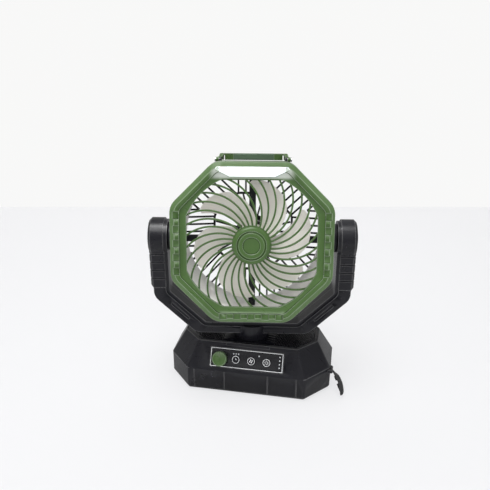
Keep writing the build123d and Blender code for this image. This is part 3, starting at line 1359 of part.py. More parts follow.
def rear_dome(lift):
    """The rear grille's shallow dome as a full block, moved ahead by lift."""
    with BuildPart(mode=Mode.PRIVATE) as made:
        with BuildSketch(face.offset(SHELL_BACK_F - REAR_T + lift)):
            head_octagon(SHELL_BACK_HALF)
        with BuildSketch(face.offset(REAR_PLATE_F + lift)):
            rear_middle()
        loft()
    return made.part


with BuildPart() as rear_grille:
    with BuildSketch(face.offset(SHELL_BACK_F)):
        rear_middle()
        rear_middle(REAR_MID_W, Mode.SUBTRACT)
        # bars square to each side of the octagon, outside the middle ring
        for sector in range(8):
            with Locations(Location((0, 0, 0), (0, 0, 45 * sector))):
                for step in range(-REAR_SIDE_BARS, REAR_SIDE_BARS + 1):
                    off = step * REAR_BAR_PITCH
                    start = max(REAR_PLATE_HALF - REAR_MID_W, abs(off) / HALF_KNEE)
                    with Locations(((start + HEAD_HALF) / 2, off)):
                        Rectangle(HEAD_HALF - start, REAR_BAR_W)
        with PolarLocations((REAR_HUB_R + REAR_PLATE_HALF) / 2 - REAR_MID_W / 2, REAR_INNER_BARS):
            Rectangle(REAR_PLATE_HALF - REAR_HUB_R, REAR_BAR_W)
        Circle(REAR_HUB_R)
    extrude(amount=2 * REAR_PLATE_F)
    add(rear_dome(0), mode=Mode.INTERSECT)
    add(rear_dome(REAR_T), mode=Mode.SUBTRACT)
    with BuildSketch(face.offset(SHELL_BACK_F)):
        head_octagon(SHELL_BACK_HALF)
        head_octagon(SHELL_BACK_HALF, REAR_RIM_W, Mode.SUBTRACT)
    extrude(amount=-REAR_T)
save(rear_grille, "rear_grille")


def trunnion(side):
    """The round boss on the head's side with its hollow pivot shaft."""
    root = sideways(face, HEAD_HALF - TRUNNION_R / 2, 0, 0, side)
    boss = ARM_INSIDE - TRUNNION_GAP - HEAD_HALF + TRUNNION_R / 2
    with BuildPart(mode=Mode.PRIVATE) as made:
        add(ring(root, TRUNNION_R, boss))
        add(ring(root, PIVOT_SHAFT_R, boss + PIVOT_SHAFT_L))
        add(ring(root.offset(boss), PIVOT_SHAFT_R - WALL, PIVOT_SHAFT_L), mode=Mode.SUBTRACT)
        add(shell_block, mode=Mode.SUBTRACT)
    return made.part


with BuildPart() as trunnion_left:
    add(trunnion(-1))
save(trunnion_left, "trunnion_left")

with BuildPart() as trunnion_right:
    add(trunnion(1))
save(trunnion_right, "trunnion_right")

with BuildPart() as trunnion_nuts:
    for side in (-1, 1):
        with BuildSketch(sideways(face, ARM_INSIDE + RIM_W + WASHER_T + PIVOT_NUT_GAP, 0, 0, side)):
            RegularPolygon(PIVOT_NUT_R, 6)
            Circle(PIVOT_SHAFT_R, mode=Mode.SUBTRACT)
        extrude(amount=PIVOT_NUT_T)
save(trunnion_nuts, "trunnion_nuts")

# ---------------------------------------------------------------- folding carry handle
LEG_IN = HANDLE_HALF - HANDLE_LEG_W / 2
LEG_OUT = HANDLE_HALF + HANDLE_LEG_W / 2
BAR_END_IN = HANDLE_BAR_HALF - HANDLE_LEG_W / 2
BAR_END_OUT = HANDLE_BAR_HALF + HANDLE_LEG_W / 2
BAR_NEAR = HANDLE_REACH - HANDLE_BAR_D
EAR_X = LEG_IN - MOVING_GAP - HANDLE_EAR_T
handle_plan = turned_plane(face, 0, HANDLE_PIVOT_UP, HANDLE_PIVOT_F, (1, 0, 0), (0, 1, 0))
handle_side = sideways(face, 0, HANDLE_PIVOT_UP, HANDLE_PIVOT_F, 1)
bar_middle = at(handle_plan, 0, HANDLE_REACH - HANDLE_BAR_D / 2, HANDLE_BAR_DOWN)
bar_height = HANDLE_BAR_UP - HANDLE_BAR_DOWN

with BuildPart() as handle_brackets:
    for side in (-1, 1):
        with BuildSketch(sideways(face, EAR_X, HANDLE_PIVOT_UP, HANDLE_PIVOT_F, side)):
            Circle(HANDLE_EYE_R)
            with BuildLine():
                Polyline(
                    (-HANDLE_EYE_R, 0), (-HANDLE_EAR_D / 2, -HANDLE_EAR_H), (HANDLE_EAR_D / 2, -HANDLE_EAR_H),
                    (HANDLE_EYE_R, 0),
                    close=True,
                )
            make_face()
            Circle(HANDLE_PIN_R, mode=Mode.SUBTRACT)
        extrude(amount=HANDLE_EAR_T)
    add(shell_block, mode=Mode.SUBTRACT)
save(handle_brackets, "handle_brackets")

with BuildPart() as handle_pins:
    for side in (-1, 1):
        pin = sideways(face, EAR_X, HANDLE_PIVOT_UP, HANDLE_PIVOT_F, side)
        pin_l = HANDLE_EAR_T + HANDLE_LEG_W + 2 * MOVING_GAP
        add(ring(pin, HANDLE_PIN_R, pin_l))
        add(ring(pin.offset(pin_l), HANDLE_EYE_R, HANDLE_PIN_HEAD_T))
save(handle_pins, "handle_pins")

with BuildPart() as handle_grip:
    add(slab(bar_middle, 2 * GRIP_HALF, HANDLE_BAR_D, bar_height))
    fillet(handle_grip.edges().filter_by(Axis(PIVOT, ACROSS)), HANDLE_EDGE_R)
    add(slab(bar_middle.offset(GRIP_T), 2 * GRIP_HALF, HANDLE_BAR_D - 2 * GRIP_T, bar_height - 2 * GRIP_T),
        mode=Mode.SUBTRACT)
save(handle_grip, "handle_grip")

with BuildPart() as carry_handle:
    with BuildSketch(handle_plan.offset(HANDLE_BAR_DOWN)):
        with BuildSketch(Plane.XY, mode=Mode.PRIVATE) as loop:
            with BuildLine():
                Polyline(
                    (-LEG_OUT, -HANDLE_EYE_R), (LEG_OUT, -HANDLE_EYE_R), (LEG_OUT, HANDLE_EYE_R),
                    (BAR_END_OUT, HANDLE_REACH), (-BAR_END_OUT, HANDLE_REACH), (-LEG_OUT, HANDLE_EYE_R),
                    close=True,
                )
            make_face()
            fillet(loop.vertices().group_by(Axis.Y)[-1], HANDLE_CORNER_R)
            with BuildLine():
                Polyline(
                    (-LEG_IN, -2 * HANDLE_EYE_R), (LEG_IN, -2 * HANDLE_EYE_R), (LEG_IN, HANDLE_EYE_R),
                    (BAR_END_IN, BAR_NEAR), (-BAR_END_IN, BAR_NEAR), (-LEG_IN, HANDLE_EYE_R),
                    close=True,
                )
            make_face(mode=Mode.SUBTRACT)
        add(loop.sketch_local)
    extrude(amount=bar_height)
    # seen from the side: an eye, a flat leg and a thicker bar
    with BuildSketch(handle_side):
        Circle(HANDLE_EYE_R)
        with BuildSketch(Plane.XY, mode=Mode.PRIVATE) as profile:
            with BuildLine():
                Polyline(
                    (0, -HANDLE_LEG_T / 2), (BAR_NEAR - HANDLE_LEG_W, -HANDLE_LEG_T / 2),
                    (BAR_NEAR, HANDLE_BAR_DOWN), (HANDLE_REACH, HANDLE_BAR_DOWN), (HANDLE_REACH, HANDLE_BAR_UP),
                    (BAR_NEAR, HANDLE_BAR_UP), (BAR_NEAR - 2 * HANDLE_LEG_W, HANDLE_LEG_T / 2),
                    (0, HANDLE_LEG_T / 2),
                    close=True,
                )
            make_face()
            fillet(profile.vertices().group_by(Axis.X)[-1], HANDLE_EDGE_R)
        add(profile.sketch_local)
    extrude(amount=2 * HANDLE_HALF, both=True, mode=Mode.INTERSECT)
    for side in (-1, 1):
        slit = at(bar_middle, side * (BAR_END_IN - HANDLE_SLIT_W / 2))
        add(slab(slit, HANDLE_SLIT_W, 2 * HANDLE_BAR_D, bar_height - HANDLE_STRAP_T), mode=Mode.SUBTRACT)
        add(ring(sideways(face, EAR_X, HANDLE_PIVOT_UP, HANDLE_PIVOT_F, side), HANDLE_PIN_R + SHAFT_GAP,
                 4 * HANDLE_LEG_W), mode=Mode.SUBTRACT)
    # narrower core under the grip
    add(slab(bar_middle.offset(-GRIP_T), 2 * GRIP_HALF, 2 * HANDLE_BAR_D, bar_height + 2 * GRIP_T),
        mode=Mode.SUBTRACT)
    add(slab(bar_middle.offset(GRIP_T), 2 * GRIP_HALF, HANDLE_BAR_D - 2 * GRIP_T, bar_height - 2 * GRIP_T))
save(carry_handle, "carry_handle")
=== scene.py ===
import json
from functools import cache
from math import cos, pi, radians, sin, tan

import bmesh
import bpy
from bpy.props import FloatProperty, FloatVectorProperty, IntProperty, PointerProperty
from bpy.types import Operator, Panel, PropertyGroup
from mathutils import Matrix, Vector


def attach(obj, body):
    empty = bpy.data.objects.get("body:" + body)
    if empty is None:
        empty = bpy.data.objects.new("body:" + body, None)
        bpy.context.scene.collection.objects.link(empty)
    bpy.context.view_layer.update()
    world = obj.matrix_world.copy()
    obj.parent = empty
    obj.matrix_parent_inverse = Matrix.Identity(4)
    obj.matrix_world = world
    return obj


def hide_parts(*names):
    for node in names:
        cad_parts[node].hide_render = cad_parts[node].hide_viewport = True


bl_info = {
    "name": "Camping fan",
    "version": (1, 0, 0),
    "blender": (4, 5, 0),
    "location": "3D view > sidebar > Camping fan",
    "description": "Builds the looks of a portable camping fan with a lamp over its measured frame",
    "category": "Object",
}

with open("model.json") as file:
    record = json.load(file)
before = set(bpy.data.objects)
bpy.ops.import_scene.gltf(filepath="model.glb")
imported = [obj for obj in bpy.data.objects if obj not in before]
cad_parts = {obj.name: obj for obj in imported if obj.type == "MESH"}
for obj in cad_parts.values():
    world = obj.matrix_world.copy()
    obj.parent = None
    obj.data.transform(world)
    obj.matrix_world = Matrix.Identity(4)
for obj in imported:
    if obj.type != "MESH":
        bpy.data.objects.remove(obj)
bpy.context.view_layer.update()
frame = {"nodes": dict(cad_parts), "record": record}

MM = 0.001
NODES = frame["nodes"]

# pose of the head at rest, the same as in the frame
HEAD_TURN = radians(8.5)
HEAD_LOOKS_UP = radians(11.6)
PIVOT = Vector((0, 0, 222)) * MM
ACROSS = Vector((cos(HEAD_TURN), sin(HEAD_TURN), 0))
AHEAD = Vector((sin(HEAD_TURN), -cos(HEAD_TURN), 0))
FACING = AHEAD * cos(HEAD_LOOKS_UP) + Vector((0, 0, sin(HEAD_LOOKS_UP)))


def place(origin, x_axis, z_axis):
    """The matrix that takes local metres to the frame."""
    y_axis = z_axis.cross(x_axis)
    rows = [(x_axis[i], y_axis[i], z_axis[i], origin[i]) for i in range(3)]
    return Matrix(rows + [(0, 0, 0, 1)])


FACE = place(PIVOT, ACROSS, FACING)  # head: x right, y up, z ahead

# front slope of the base: x right, y up the slope, z out of it
SLOPE_RUN = 19.0
SLOPE_RISE = 36.0
SLOPE_FOOT = Vector((0, -53, 36)) * MM
SLOPE_OUT = Vector((0, -SLOPE_RISE, SLOPE_RUN)).normalized()
SLOPE = place(SLOPE_FOOT, Vector((1, 0, 0)), SLOPE_OUT)


# ---- settings
def millimetres(name, description, default):
    """A length in millimetres."""
    return FloatProperty(name=name, description=description, default=default, min=0.0)


def colour(name, description, default):
    """A colour of a finish."""
    return FloatVectorProperty(
        name=name, description=description, default=default, size=3, min=0.0, max=1.0, subtype="COLOR")


def watts(name, description, default):
    """The power of a lamp."""
    return FloatProperty(name=name, description=description, default=default, subtype="POWER")


class FanFinishes(PropertyGroup):
    """Colours of the mouldings."""

    green: colour("Green plastic", "Frame, front grille, hub cap, knob and handle", (0.05, 0.1, 0.027))
    grip: colour("Grip", "Soft grip of the handle", (0.06, 0.104, 0.058))
    black: colour("Black plastic", "Base, yoke and rear shell", (0.007, 0.007, 0.01))
    pale: colour("Pale plastic", "Blades and air duct", (0.86, 0.835, 0.79))
    print_ink: colour("Print", "Lines and symbols on the panel", (0.72, 0.73, 0.74))
    lens: colour("Lens", "Opal lens of the lamp", (0.96, 0.96, 0.96))


class GrilleSizes(PropertyGroup):
    """Sizes of the swirling front grille."""

    ribs: IntProperty(name="Ribs", description="Number of ribs", default=33, min=3)
    width: millimetres("Rib width", "Width of a rib as seen from the front", 2.3)
    deep: millimetres("Rib depth", "Depth of a rib along the air's way", 3.0)
    rounding: millimetres("Rounding", "Radius of a rib's edges", 0.75)


class RotorSizes(PropertyGroup):
    """Sizes of the bladed rotor."""

    blades: IntProperty(name="Blades", description="Number of blades", default=6, min=2)
    thickness: millimetres("Thickness", "Thickness in the middle of a blade", 1.8)
    edge: millimetres("Edge", "Thickness at a blade's edges", 0.7)
    camber: millimetres("Camber", "How far a blade's middle bulges", 1.0)


class PrintSizes(PropertyGroup):
    """Sizes of the printed lines on the panel and its buttons."""

    line: millimetres("Line", "Width of the border line", 0.7)
    ring: millimetres("Ring", "Width of the rings round the symbols", 0.6)
    ink: millimetres("Ink", "Thickness of the ink", 0.06)


class StageSettings(PropertyGroup):
    """Floor, backdrop and lights."""

    floor: colour("Floor", "Pale table top", (0.852, 0.853, 0.866))
    wall: colour("Wall", "White backdrop", (0.94, 0.94, 0.935))
    key: watts("Key light", "Power of the large lamp overhead", 10.0)
    fill: watts("Fill light", "Power of the lamp in front", 15.0)
    top: watts("Top light", "Power of the lamp straight above", 7.0)
    sky: FloatProperty(name="Surroundings", description="Brightness of the white room", default=0.4, min=0.0)


# ---- nodes and materials
class Nodes:
    """Builds the nodes of a tree with short calls."""

    def __init__(self, tree):
        self.tree = tree

    def feed(self, socket, value):
        """Give a socket a value, or join it to another node's output."""
        if hasattr(value, "links"):
            self.tree.links.new(value, socket)
        else:
            socket.default_value = value

    def add(self, kind, fields=None, *given, **named):
        """Add a node, set its fields, and feed its inputs in their order or by label."""
        node = self.tree.nodes.new(kind)
        for key, value in (fields or {}).items():
            setattr(node, key, value)
        for socket, value in zip(node.inputs, given):
            self.feed(socket, value)
        for label, value in named.items():
            self.feed(node.inputs[label.replace("_", " ")], value)
        return node

    def maths(self, operation, *values):
        """A sum on numbers and sockets."""
        return self.add("ShaderNodeMath", {"operation": operation}, *values).outputs[0]

    def spread(self, value, low, high, out_low, out_high, kind="LINEAR"):
        """Map a range of a value to another range."""
        node = self.add(
            "ShaderNodeMapRange", {"interpolation_type": kind}, Value=value,
            From_Min=low, From_Max=high, To_Min=out_low, To_Max=out_high)
        return node.outputs["Result"]

    def part(self, vector, axis):
        """One coordinate of a vector."""
        return self.add("ShaderNodeSeparateXYZ", None, vector).outputs[axis]

    def show(self, surface):
        """Make a shader the material's surface."""
        self.feed(self.tree.nodes["Material Output"].inputs["Surface"], surface)


class Shade(Nodes):
    """Builds one node material, anew or on a copy of another."""

    def __init__(self, name, base=None, **inputs):
        self.material = base.copy() if base else bpy.data.materials.new(name)
        self.material.name = name
        self.material.use_nodes = True
        super().__init__(self.material.node_tree)
        self.shader = self.tree.nodes["Principled BSDF"]
        for label, value in inputs.items():
            self.set(label, value)
        self.place = self.add("ShaderNodeTexCoord").outputs["Object"]
        self.bump = None

    def set(self, label, value):
        """Feed an input of the main shader."""
        self.feed(self.shader.inputs[label.replace("_", " ")], value)

    def noise(self, scale, detail=3.0, rough=0.5, stretch=None):
        """A noise pattern in object space."""
        start = self.place
        if stretch:
            turn = self.add("ShaderNodeMapping", Vector=start, Scale=stretch, Rotation=(0.3, 0.5, 0.2))
            start = turn.outputs["Vector"]
        node = self.add("ShaderNodeTexNoise", Vector=start, Scale=scale, Detail=detail, Roughness=rough)
        return node.outputs["Fac"]

    def blend(self, factor, first, second):
        """Mix two colours by a factor; a colour is a tuple or a socket."""
        node = self.add("ShaderNodeMix", {"data_type": "RGBA"}, factor)
        for socket, value in zip(node.inputs[6:8], (first, second)):
            self.feed(socket, value + (1.0,) if isinstance(value, tuple) else value)
        return node.outputs[2]

    def roughen(self, height, strength, distance):
        """Add a bump layer over the ones before."""
        node = self.add("ShaderNodeBump", Height=height, Strength=strength, Distance=distance)
        if self.bump:
            self.feed(node.inputs["Normal"], self.bump)
        self.bump = node.outputs["Normal"]
        self.set("Normal", self.bump)


def scaled(tint, factor):
    """A colour made lighter or darker."""
    return tuple(min(1.0, part * factor) for part in tint)


def lifted(tint, lift, factor=1.0):
    """A colour scaled and then raised towards white."""
    return tuple(lift + factor * part for part in tint)


DUST = (0.45, 0.44, 0.43)


@cache
def moulded(name, tint, rough, grain=0.25, cloud=0.12, dust=0.0, **inputs):
    """Injection moulded plastic: a fine grain, soft clouding, hairline scratches and a little dust."""
    shade = Shade(name, Metallic=0.0, **inputs)
    clouds = shade.spread(shade.noise(22, 4), 0.35, 0.65, 0, 1)
    base = shade.blend(clouds, scaled(tint, 1 - cloud), scaled(tint, 1 + cloud))
    if dust:
        normal = shade.add("ShaderNodeNewGeometry").outputs["Normal"]
        upward = shade.spread(shade.part(normal, "Z"), 0.55, 1.0, 0, dust)
        speckle = shade.spread(shade.noise(240, 5, 0.7), 0.4, 0.75, 0.2, 1)
        base = shade.blend(shade.maths("MULTIPLY", upward, speckle), base, DUST)
    shade.set("Base_Color", base)
    scratch = shade.spread(shade.noise(60, 2, 0.4, (1, 26, 1)), 0.62, 0.7, 0, 1)
    sheen = shade.spread(shade.noise(9, 3), 0.3, 0.7, rough - 0.05, rough + 0.06)
    shade.set("Roughness", shade.maths("MULTIPLY_ADD", scratch, -0.08, sheen))
    if grain:
        shade.roughen(shade.noise(2600, 2, 0.6), grain, 0.00008)
        shade.roughen(shade.noise(120, 2), 0.06, 0.0003)
    return shade.material


@cache
def metal(name, tint, rough, stretch=(1, 1, 30)):
    """Plated or drawn metal with fine streaks."""
    shade = Shade(name, Metallic=1.0)
    streak = shade.noise(180, 3, 0.5, stretch)
    shade.set("Base_Color", shade.blend(streak, scaled(tint, 0.82), scaled(tint, 1.1)))
    shade.set("Roughness", shade.spread(streak, 0.3, 0.7, rough - 0.06, rough + 0.1))
    shade.roughen(streak, 0.12, 0.00005)
    return shade.material


def tint_of(finish):
    """The colour that is set for a finish."""
    return tuple(getattr(bpy.context.scene.fan_finishes, finish))


def green():
    """Semi-gloss plastic of the frame, the knob and the handle."""
    return moulded("green plastic", tint_of("green"), 0.34, grain=0.12, cloud=0.05, dust=0.01,
                   Specular_IOR_Level=0.36)


def green_edge_highlight():
    """A painted highlight along a convex edge, in a paler green."""
    return moulded("green edges", lifted(tint_of("green"), 0.105, 1.1), 0.3, grain=0.1, cloud=0.1)


def green_crease_shade():
    """Painted shade in an inner corner, in a darker green."""
    return moulded("green creases", scaled(tint_of("green"), 0.22), 0.5, grain=0.1, cloud=0.1,
                   Specular_IOR_Level=0.1)


def black():
    """Finely grained plastic of the base and the yoke."""
    return moulded("black plastic", tint_of("black"), 0.33, grain=0.2, cloud=0.1, dust=0.01,
                   Specular_IOR_Level=0.42)


def black_edge_highlight():
    """A painted highlight along a convex edge, in a paler black."""
    return moulded("black edges", lifted(tint_of("black"), 0.05), 0.3, grain=0.1, cloud=0.25)


def smooth_black():
    """Glossier plastic of the caps, the buttons and the rear shell."""
    return moulded("smooth black plastic", tint_of("black"), 0.2, grain=0.06, cloud=0.06)


@cache
def pale():
    """Pale plastic of the blades, which lets some light through."""
    tint, light_through = tint_of("pale"), 0.3
    material = moulded("pale plastic", tint, 0.44, grain=0.12, cloud=0.035)
    nodes = Nodes(material.node_tree)
    opaque = nodes.tree.nodes["Principled BSDF"].outputs[0]
    through = nodes.add("ShaderNodeBsdfTranslucent", Color=tint + (1.0,)).outputs[0]
    nodes.show(nodes.add("ShaderNodeMixShader", None, light_through, opaque, through).outputs[0])
    return material


def white():
    """Whiter plastic of the air duct."""
    return moulded("white plastic", lifted(tint_of("pale"), 0.3, 0.7), 0.4, grain=0.12, cloud=0.02)


def ink():
    """Printed lines and symbols."""
    return moulded("printed ink", tint_of("print_ink"), 0.35, grain=0.05, cloud=0.04)


def rubber():
    """Matt rubber of the feet and the socket cover."""
    return moulded("black rubber", (0.017, 0.017, 0.018), 0.62, grain=0.4, cloud=0.15, dust=0.08)


def plated():
    """Screws, shafts and other plated steel."""
    return metal("plated steel", (0.58, 0.58, 0.6), 0.3)


# ---- mesh helpers
DOUBLED = 2e-6  # points of a node that are closer than this, in metres, are one
FLAT = 0.4  # faces that meet at a smaller angle than this, in degrees, are one


def added(name, data):
    """A new object in the scene."""
    thing = bpy.data.objects.new(name, data)
    bpy.context.scene.collection.objects.link(thing)
    return thing


def stored(name, shape):
    """A new mesh of a shape, which is let go."""
    mesh = bpy.data.meshes.new(name)
    shape.to_mesh(mesh)
    shape.free()
    return mesh


def put(name, mesh, body, slot, *materials, replaced=()):
    """Make an object of a mesh that is in the frame's metres, and let it ride on a body."""
    piece = added(name, mesh)
    if mesh.materials:  # clearing an empty list would undo the faces' own choice of finish
        mesh.materials.clear()
    for material in materials:
        mesh.materials.append(material)
    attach(piece, body)
    if replaced:
        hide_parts(*replaced)
    return piece


def wear(names, material):
    """Give carried-over nodes a finish."""
    for name in names:
        mesh = NODES[name].data
        mesh.materials.clear()
        mesh.materials.append(material)
        for polygon in mesh.polygons:
            polygon.material_index = 0


def body_of(node):
    """The body that a node rides on."""
    bodies = frame["record"]["behaviour"]["bodies"]
    return next(body for body, members in bodies.items() if node in members)


def slot_of(node):
    """The material slot of a node."""
    return next(row["material_slot"] for row in frame["record"]["subparts"] if row["node"] == node)


def dressed(node, material, edge=0.0, rim=None, crease=None, angle=28):
    """Stand in for a node with its own merged surface and smooth shading.

    Its edges are rounded, or lined with a rim finish that is a painted highlight outside and a crease finish that
    is painted shade in the corners.
    """
    shape = bmesh.new()
    shape.from_mesh(NODES[node].data)
    for face in shape.faces:
        face.material_index = 0
    bmesh.ops.remove_doubles(shape, verts=shape.verts, dist=DOUBLED)
    bmesh.ops.dissolve_degenerate(shape, edges=shape.edges, dist=1e-6)
    bmesh.ops.dissolve_limit(shape, verts=shape.verts, edges=shape.edges, angle_limit=radians(FLAT))
    shape.normal_update()
    if rim or crease:
        edged(shape, edge, angle, 1 if rim else -1, 2 if crease else -1)
    elif edge:
        sharp = [
            e for e in shape.edges
            if len(e.link_faces) == 2 and e.calc_face_angle(0) > radians(angle) and e.calc_length() > edge * MM
        ]
        bmesh.ops.bevel(
            shape, geom=sharp, offset=edge * MM, offset_type="OFFSET", segments=2,
            profile=0.5, affect="EDGES", clamp_overlap=True,
        )
    bmesh.ops.triangulate(shape, faces=[f for f in shape.faces if len(f.verts) > 4])
    mesh = stored(node + " dressed", shape)
    smooth(mesh, 32)
    finishes = [finish for finish in (material, rim, crease) if finish]
    return put("dressed_" + node, mesh, body_of(node), slot_of(node), *finishes, replaced=(node,))


def edged(shape, width, angle, outer, inner):
    """Lay a fine bead on the sharp edges: one finish on outer edges, another in inner corners, which carry a
    painted highlight and painted shade.
    """
    # how far a bead stands out, how deep it reaches, its gap at both ends, and the shortest edge that gets one
    lift, deep, short, least = 0.04 * MM, 0.1 * MM, 0.01 * MM, 0.2 * MM
    beads = []
    for edge in shape.edges:
        if len(edge.link_loops) != 2 or edge.calc_length() < least or edge.calc_face_angle(0) < radians(angle):
            continue
        finish = outer if edge.is_convex else inner
        if finish < 0:
            continue
        sides = []
        for loop in edge.link_loops:
            normal = loop.face.normal
            inward = normal.cross((loop.link_loop_next.vert.co - loop.vert.co).normalized())
            room = max((vert.co - loop.vert.co).dot(inward) for vert in loop.face.verts)
            sides.append(inward * min(width * MM, 0.5 * room) + normal * lift)
        out = (edge.link_loops[0].face.normal + edge.link_loops[1].face.normal).normalized()
        start, end = edge.verts[0].co, edge.verts[1].co
        along = (end - start).normalized() * short
        section = (out * lift * 1.5, sides[0], -out * deep, sides[1])
        beads.append(([start + along + p for p in section], [end - along + p for p in section], finish))
    for start, end, finish in beads:
        first = [shape.verts.new(p) for p in start]
        last = [shape.verts.new(p) for p in end]
        faces = [shape.faces.new(first), shape.faces.new(last[::-1])]
        for index in range(4):
            after = (index + 1) % 4
            faces.append(shape.faces.new((first[index], last[index], last[after], first[after])))
        bmesh.ops.recalc_face_normals(shape, faces=faces)
        for face in faces:
            face.material_index = finish


def smooth(mesh, angle):
    """Shade a mesh smooth except across sharper angles."""
    mesh.shade_smooth()
    mesh.set_sharp_from_angle(angle=radians(angle))


def from_bmesh(name, shape, matrix, angle=35):
    """Finish a mesh drawn in millimetres and take it to the frame."""
    bmesh.ops.remove_doubles(shape, verts=shape.verts, dist=1e-4)
    bmesh.ops.recalc_face_normals(shape, faces=shape.faces)
    mesh = stored(name, shape)
    mesh.transform(matrix @ Matrix.Scale(MM, 4))
    smooth(mesh, angle)
    return mesh


def lathe(shape, profile, steps=96):
    """Turn a closed profile of (radius, height) about z; a radius of 0 closes on the axis."""
    rings = []
    for radius, height in profile:
        if radius < 1e-6:
            rings.append([shape.verts.new((0, 0, height))])
        else:
            rings.append([shape.verts.new((x, y, height)) for x, y in circle(radius, steps)])
    for first, second in zip(rings, rings[1:] + rings[:1]):
        if len(first) == 1 and len(second) == 1:
            continue
        for step in range(steps):
            after = (step + 1) % steps
            corners = [first[step % len(first)], first[after % len(first)],
                       second[after % len(second)], second[step % len(second)]]
            shape.faces.new(list(dict.fromkeys(corners)))


def rounded(points, radius, steps=5):
    """A profile whose corners are rounded where they have room."""
    result = []
    count = len(points)
    for index, point in enumerate(points):
        here = Vector(point)
        before = Vector(points[index - 1]) - here
        after = Vector(points[(index + 1) % count]) - here
        reach = min(radius, before.length / 2.01, after.length / 2.01)
        straight = before.normalized().dot(after.normalized()) < -0.995
        if here.x < 1e-6 or straight or reach < 1e-3:
            result.append(point)
            continue
        start = here + before.normalized() * reach
        end = here + after.normalized() * reach
        for step in range(steps + 1):
            share = step / steps
            result.append(tuple(start * (1 - share) ** 2 + here * 2 * share * (1 - share) + end * share ** 2))
    return result


def wall(shape, first, second):
    """Faces between two closed rows of as many points."""
    for index in range(len(first)):
        after = (index + 1) % len(first)
        shape.faces.new((first[index], first[after], second[after], second[index]))


def prism(shape, outline, low, high):
    """A flat-sided block over a closed outline."""
    bottom = [shape.verts.new((x, y, low)) for x, y in outline]
    top = [shape.verts.new((x, y, high)) for x, y in outline]
    shape.faces.new(bottom[::-1])
    shape.faces.new(top)
    wall(shape, bottom, top)


def band(shape, outer, inner, low, high):
    """A closed band between two outlines with as many points."""
    rows = [
        [shape.verts.new((x, y, z)) for x, y in line]
        for line, z in ((outer, low), (outer, high), (inner, high), (inner, low))
    ]
    for first, second in zip(rows, rows[1:] + rows[:1]):
        wall(shape, first, second)


def circle(radius, steps=48):
    """Points of a circle round the middle."""
    turn = [2 * pi * step / steps for step in range(steps)]
    return [(radius * cos(a), radius * sin(a)) for a in turn]


def bar_outline(start, end, width):
    """The four corners of a straight line of some width."""
    start = Vector(start)
    end = Vector(end)
    side = (end - start).normalized().orthogonal() * width / 2
    return [tuple(p) for p in (start - side, end - side, end + side, start + side)]


# ---- geometry node trees
class Tree(Nodes):
    """A geometry node tree with named inputs."""

    def __init__(self, name, inputs):
        super().__init__(bpy.data.node_groups.new(name, "GeometryNodeTree"))
        sockets = self.tree.interface
        sockets.new_socket("Geometry", in_out="OUTPUT", socket_type="NodeSocketGeometry")
        for label, kind in inputs:
            sockets.new_socket(label, in_out="INPUT", socket_type="NodeSocket" + kind)
        self.start = self.tree.nodes.new("NodeGroupInput")
        self.end = self.tree.nodes.new("NodeGroupOutput")

    def turned_copies(self, geometry, count, material):
        """Copies of a geometry round z, realised and finished."""
        points = self.add("GeometryNodePoints", Count=count)
        index = self.add("GeometryNodeInputIndex").outputs[0]
        angle = self.maths("MULTIPLY", self.maths("DIVIDE", index, count), 2 * pi)
        turn = self.add("ShaderNodeCombineXYZ", Z=angle)
        copies = self.add(
            "GeometryNodeInstanceOnPoints",
            Points=points.outputs[0], Instance=geometry, Rotation=turn.outputs[0])
        real = self.add("GeometryNodeRealizeInstances", Geometry=copies.outputs[0])
        final = self.add("GeometryNodeSetMaterial", Geometry=real.outputs[0], Material=material)
        self.feed(self.end.inputs[0], final.outputs[0])


def grown(tree, values, base=None):
    """Run a node tree on a base mesh and return the plain mesh it makes."""
    carrier = added("carrier", base or bpy.data.meshes.new("empty"))
    modifier = carrier.modifiers.new("grow", "NODES")
    modifier.node_group = tree
    for item in tree.interface.items_tree:
        if item.item_type == "SOCKET" and item.in_out == "INPUT" and item.name in values:
            modifier[item.identifier] = values[item.name]
    bpy.context.view_layer.update()
    mesh = bpy.data.meshes.new_from_object(carrier.evaluated_get(bpy.context.evaluated_depsgraph_get()))
    carrier.modifiers.clear()
    bpy.data.objects.remove(carrier)
    return mesh


def rib_tree():
    """Swirling ribs: a rounded bar along an arc through three points, copied round the hub."""
    tree = Tree("Swirling ribs", [
        ("Ribs", "Int"), ("Root", "Vector"), ("Middle", "Vector"), ("Tip", "Vector"),
        ("Width", "Float"), ("Depth", "Float"), ("Rounding", "Float"), ("Material", "Material")])
    given = tree.start.outputs
    arc = tree.add(
        "GeometryNodeCurveArc", {"mode": "POINTS"},
        Resolution=40, Start=given["Root"], Middle=given["Middle"], End=given["Tip"])
    level = tree.add("GeometryNodeSetCurveNormal", {"mode": "Z_UP"}, Curve=arc.outputs[0])
    section = tree.add("GeometryNodeCurvePrimitiveQuadrilateral", Width=given["Width"], Height=given["Depth"])
    soft = tree.add("GeometryNodeFilletCurve", {"mode": "POLY"}, Curve=section.outputs[0], Count=3,
                    Radius=given["Rounding"], Limit_Radius=True)
    bar = tree.add("GeometryNodeCurveToMesh", Curve=level.outputs[0], Profile_Curve=soft.outputs[0], Fill_Caps=True)
    tree.turned_copies(bar.outputs[0], given["Ribs"], given["Material"])
    return tree.tree


def copies_tree():
    """Copies of the base mesh round z."""
    tree = Tree("Turned copies", [("Geometry", "Geometry"), ("Count", "Int"), ("Material", "Material")])
    given = tree.start.outputs
    tree.turned_copies(given["Geometry"], given["Count"], given["Material"])
    return tree.tree


# ---- operators
class FanPiece:
    """Common fields of the operators."""

    bl_options = {"REGISTER", "UNDO"}


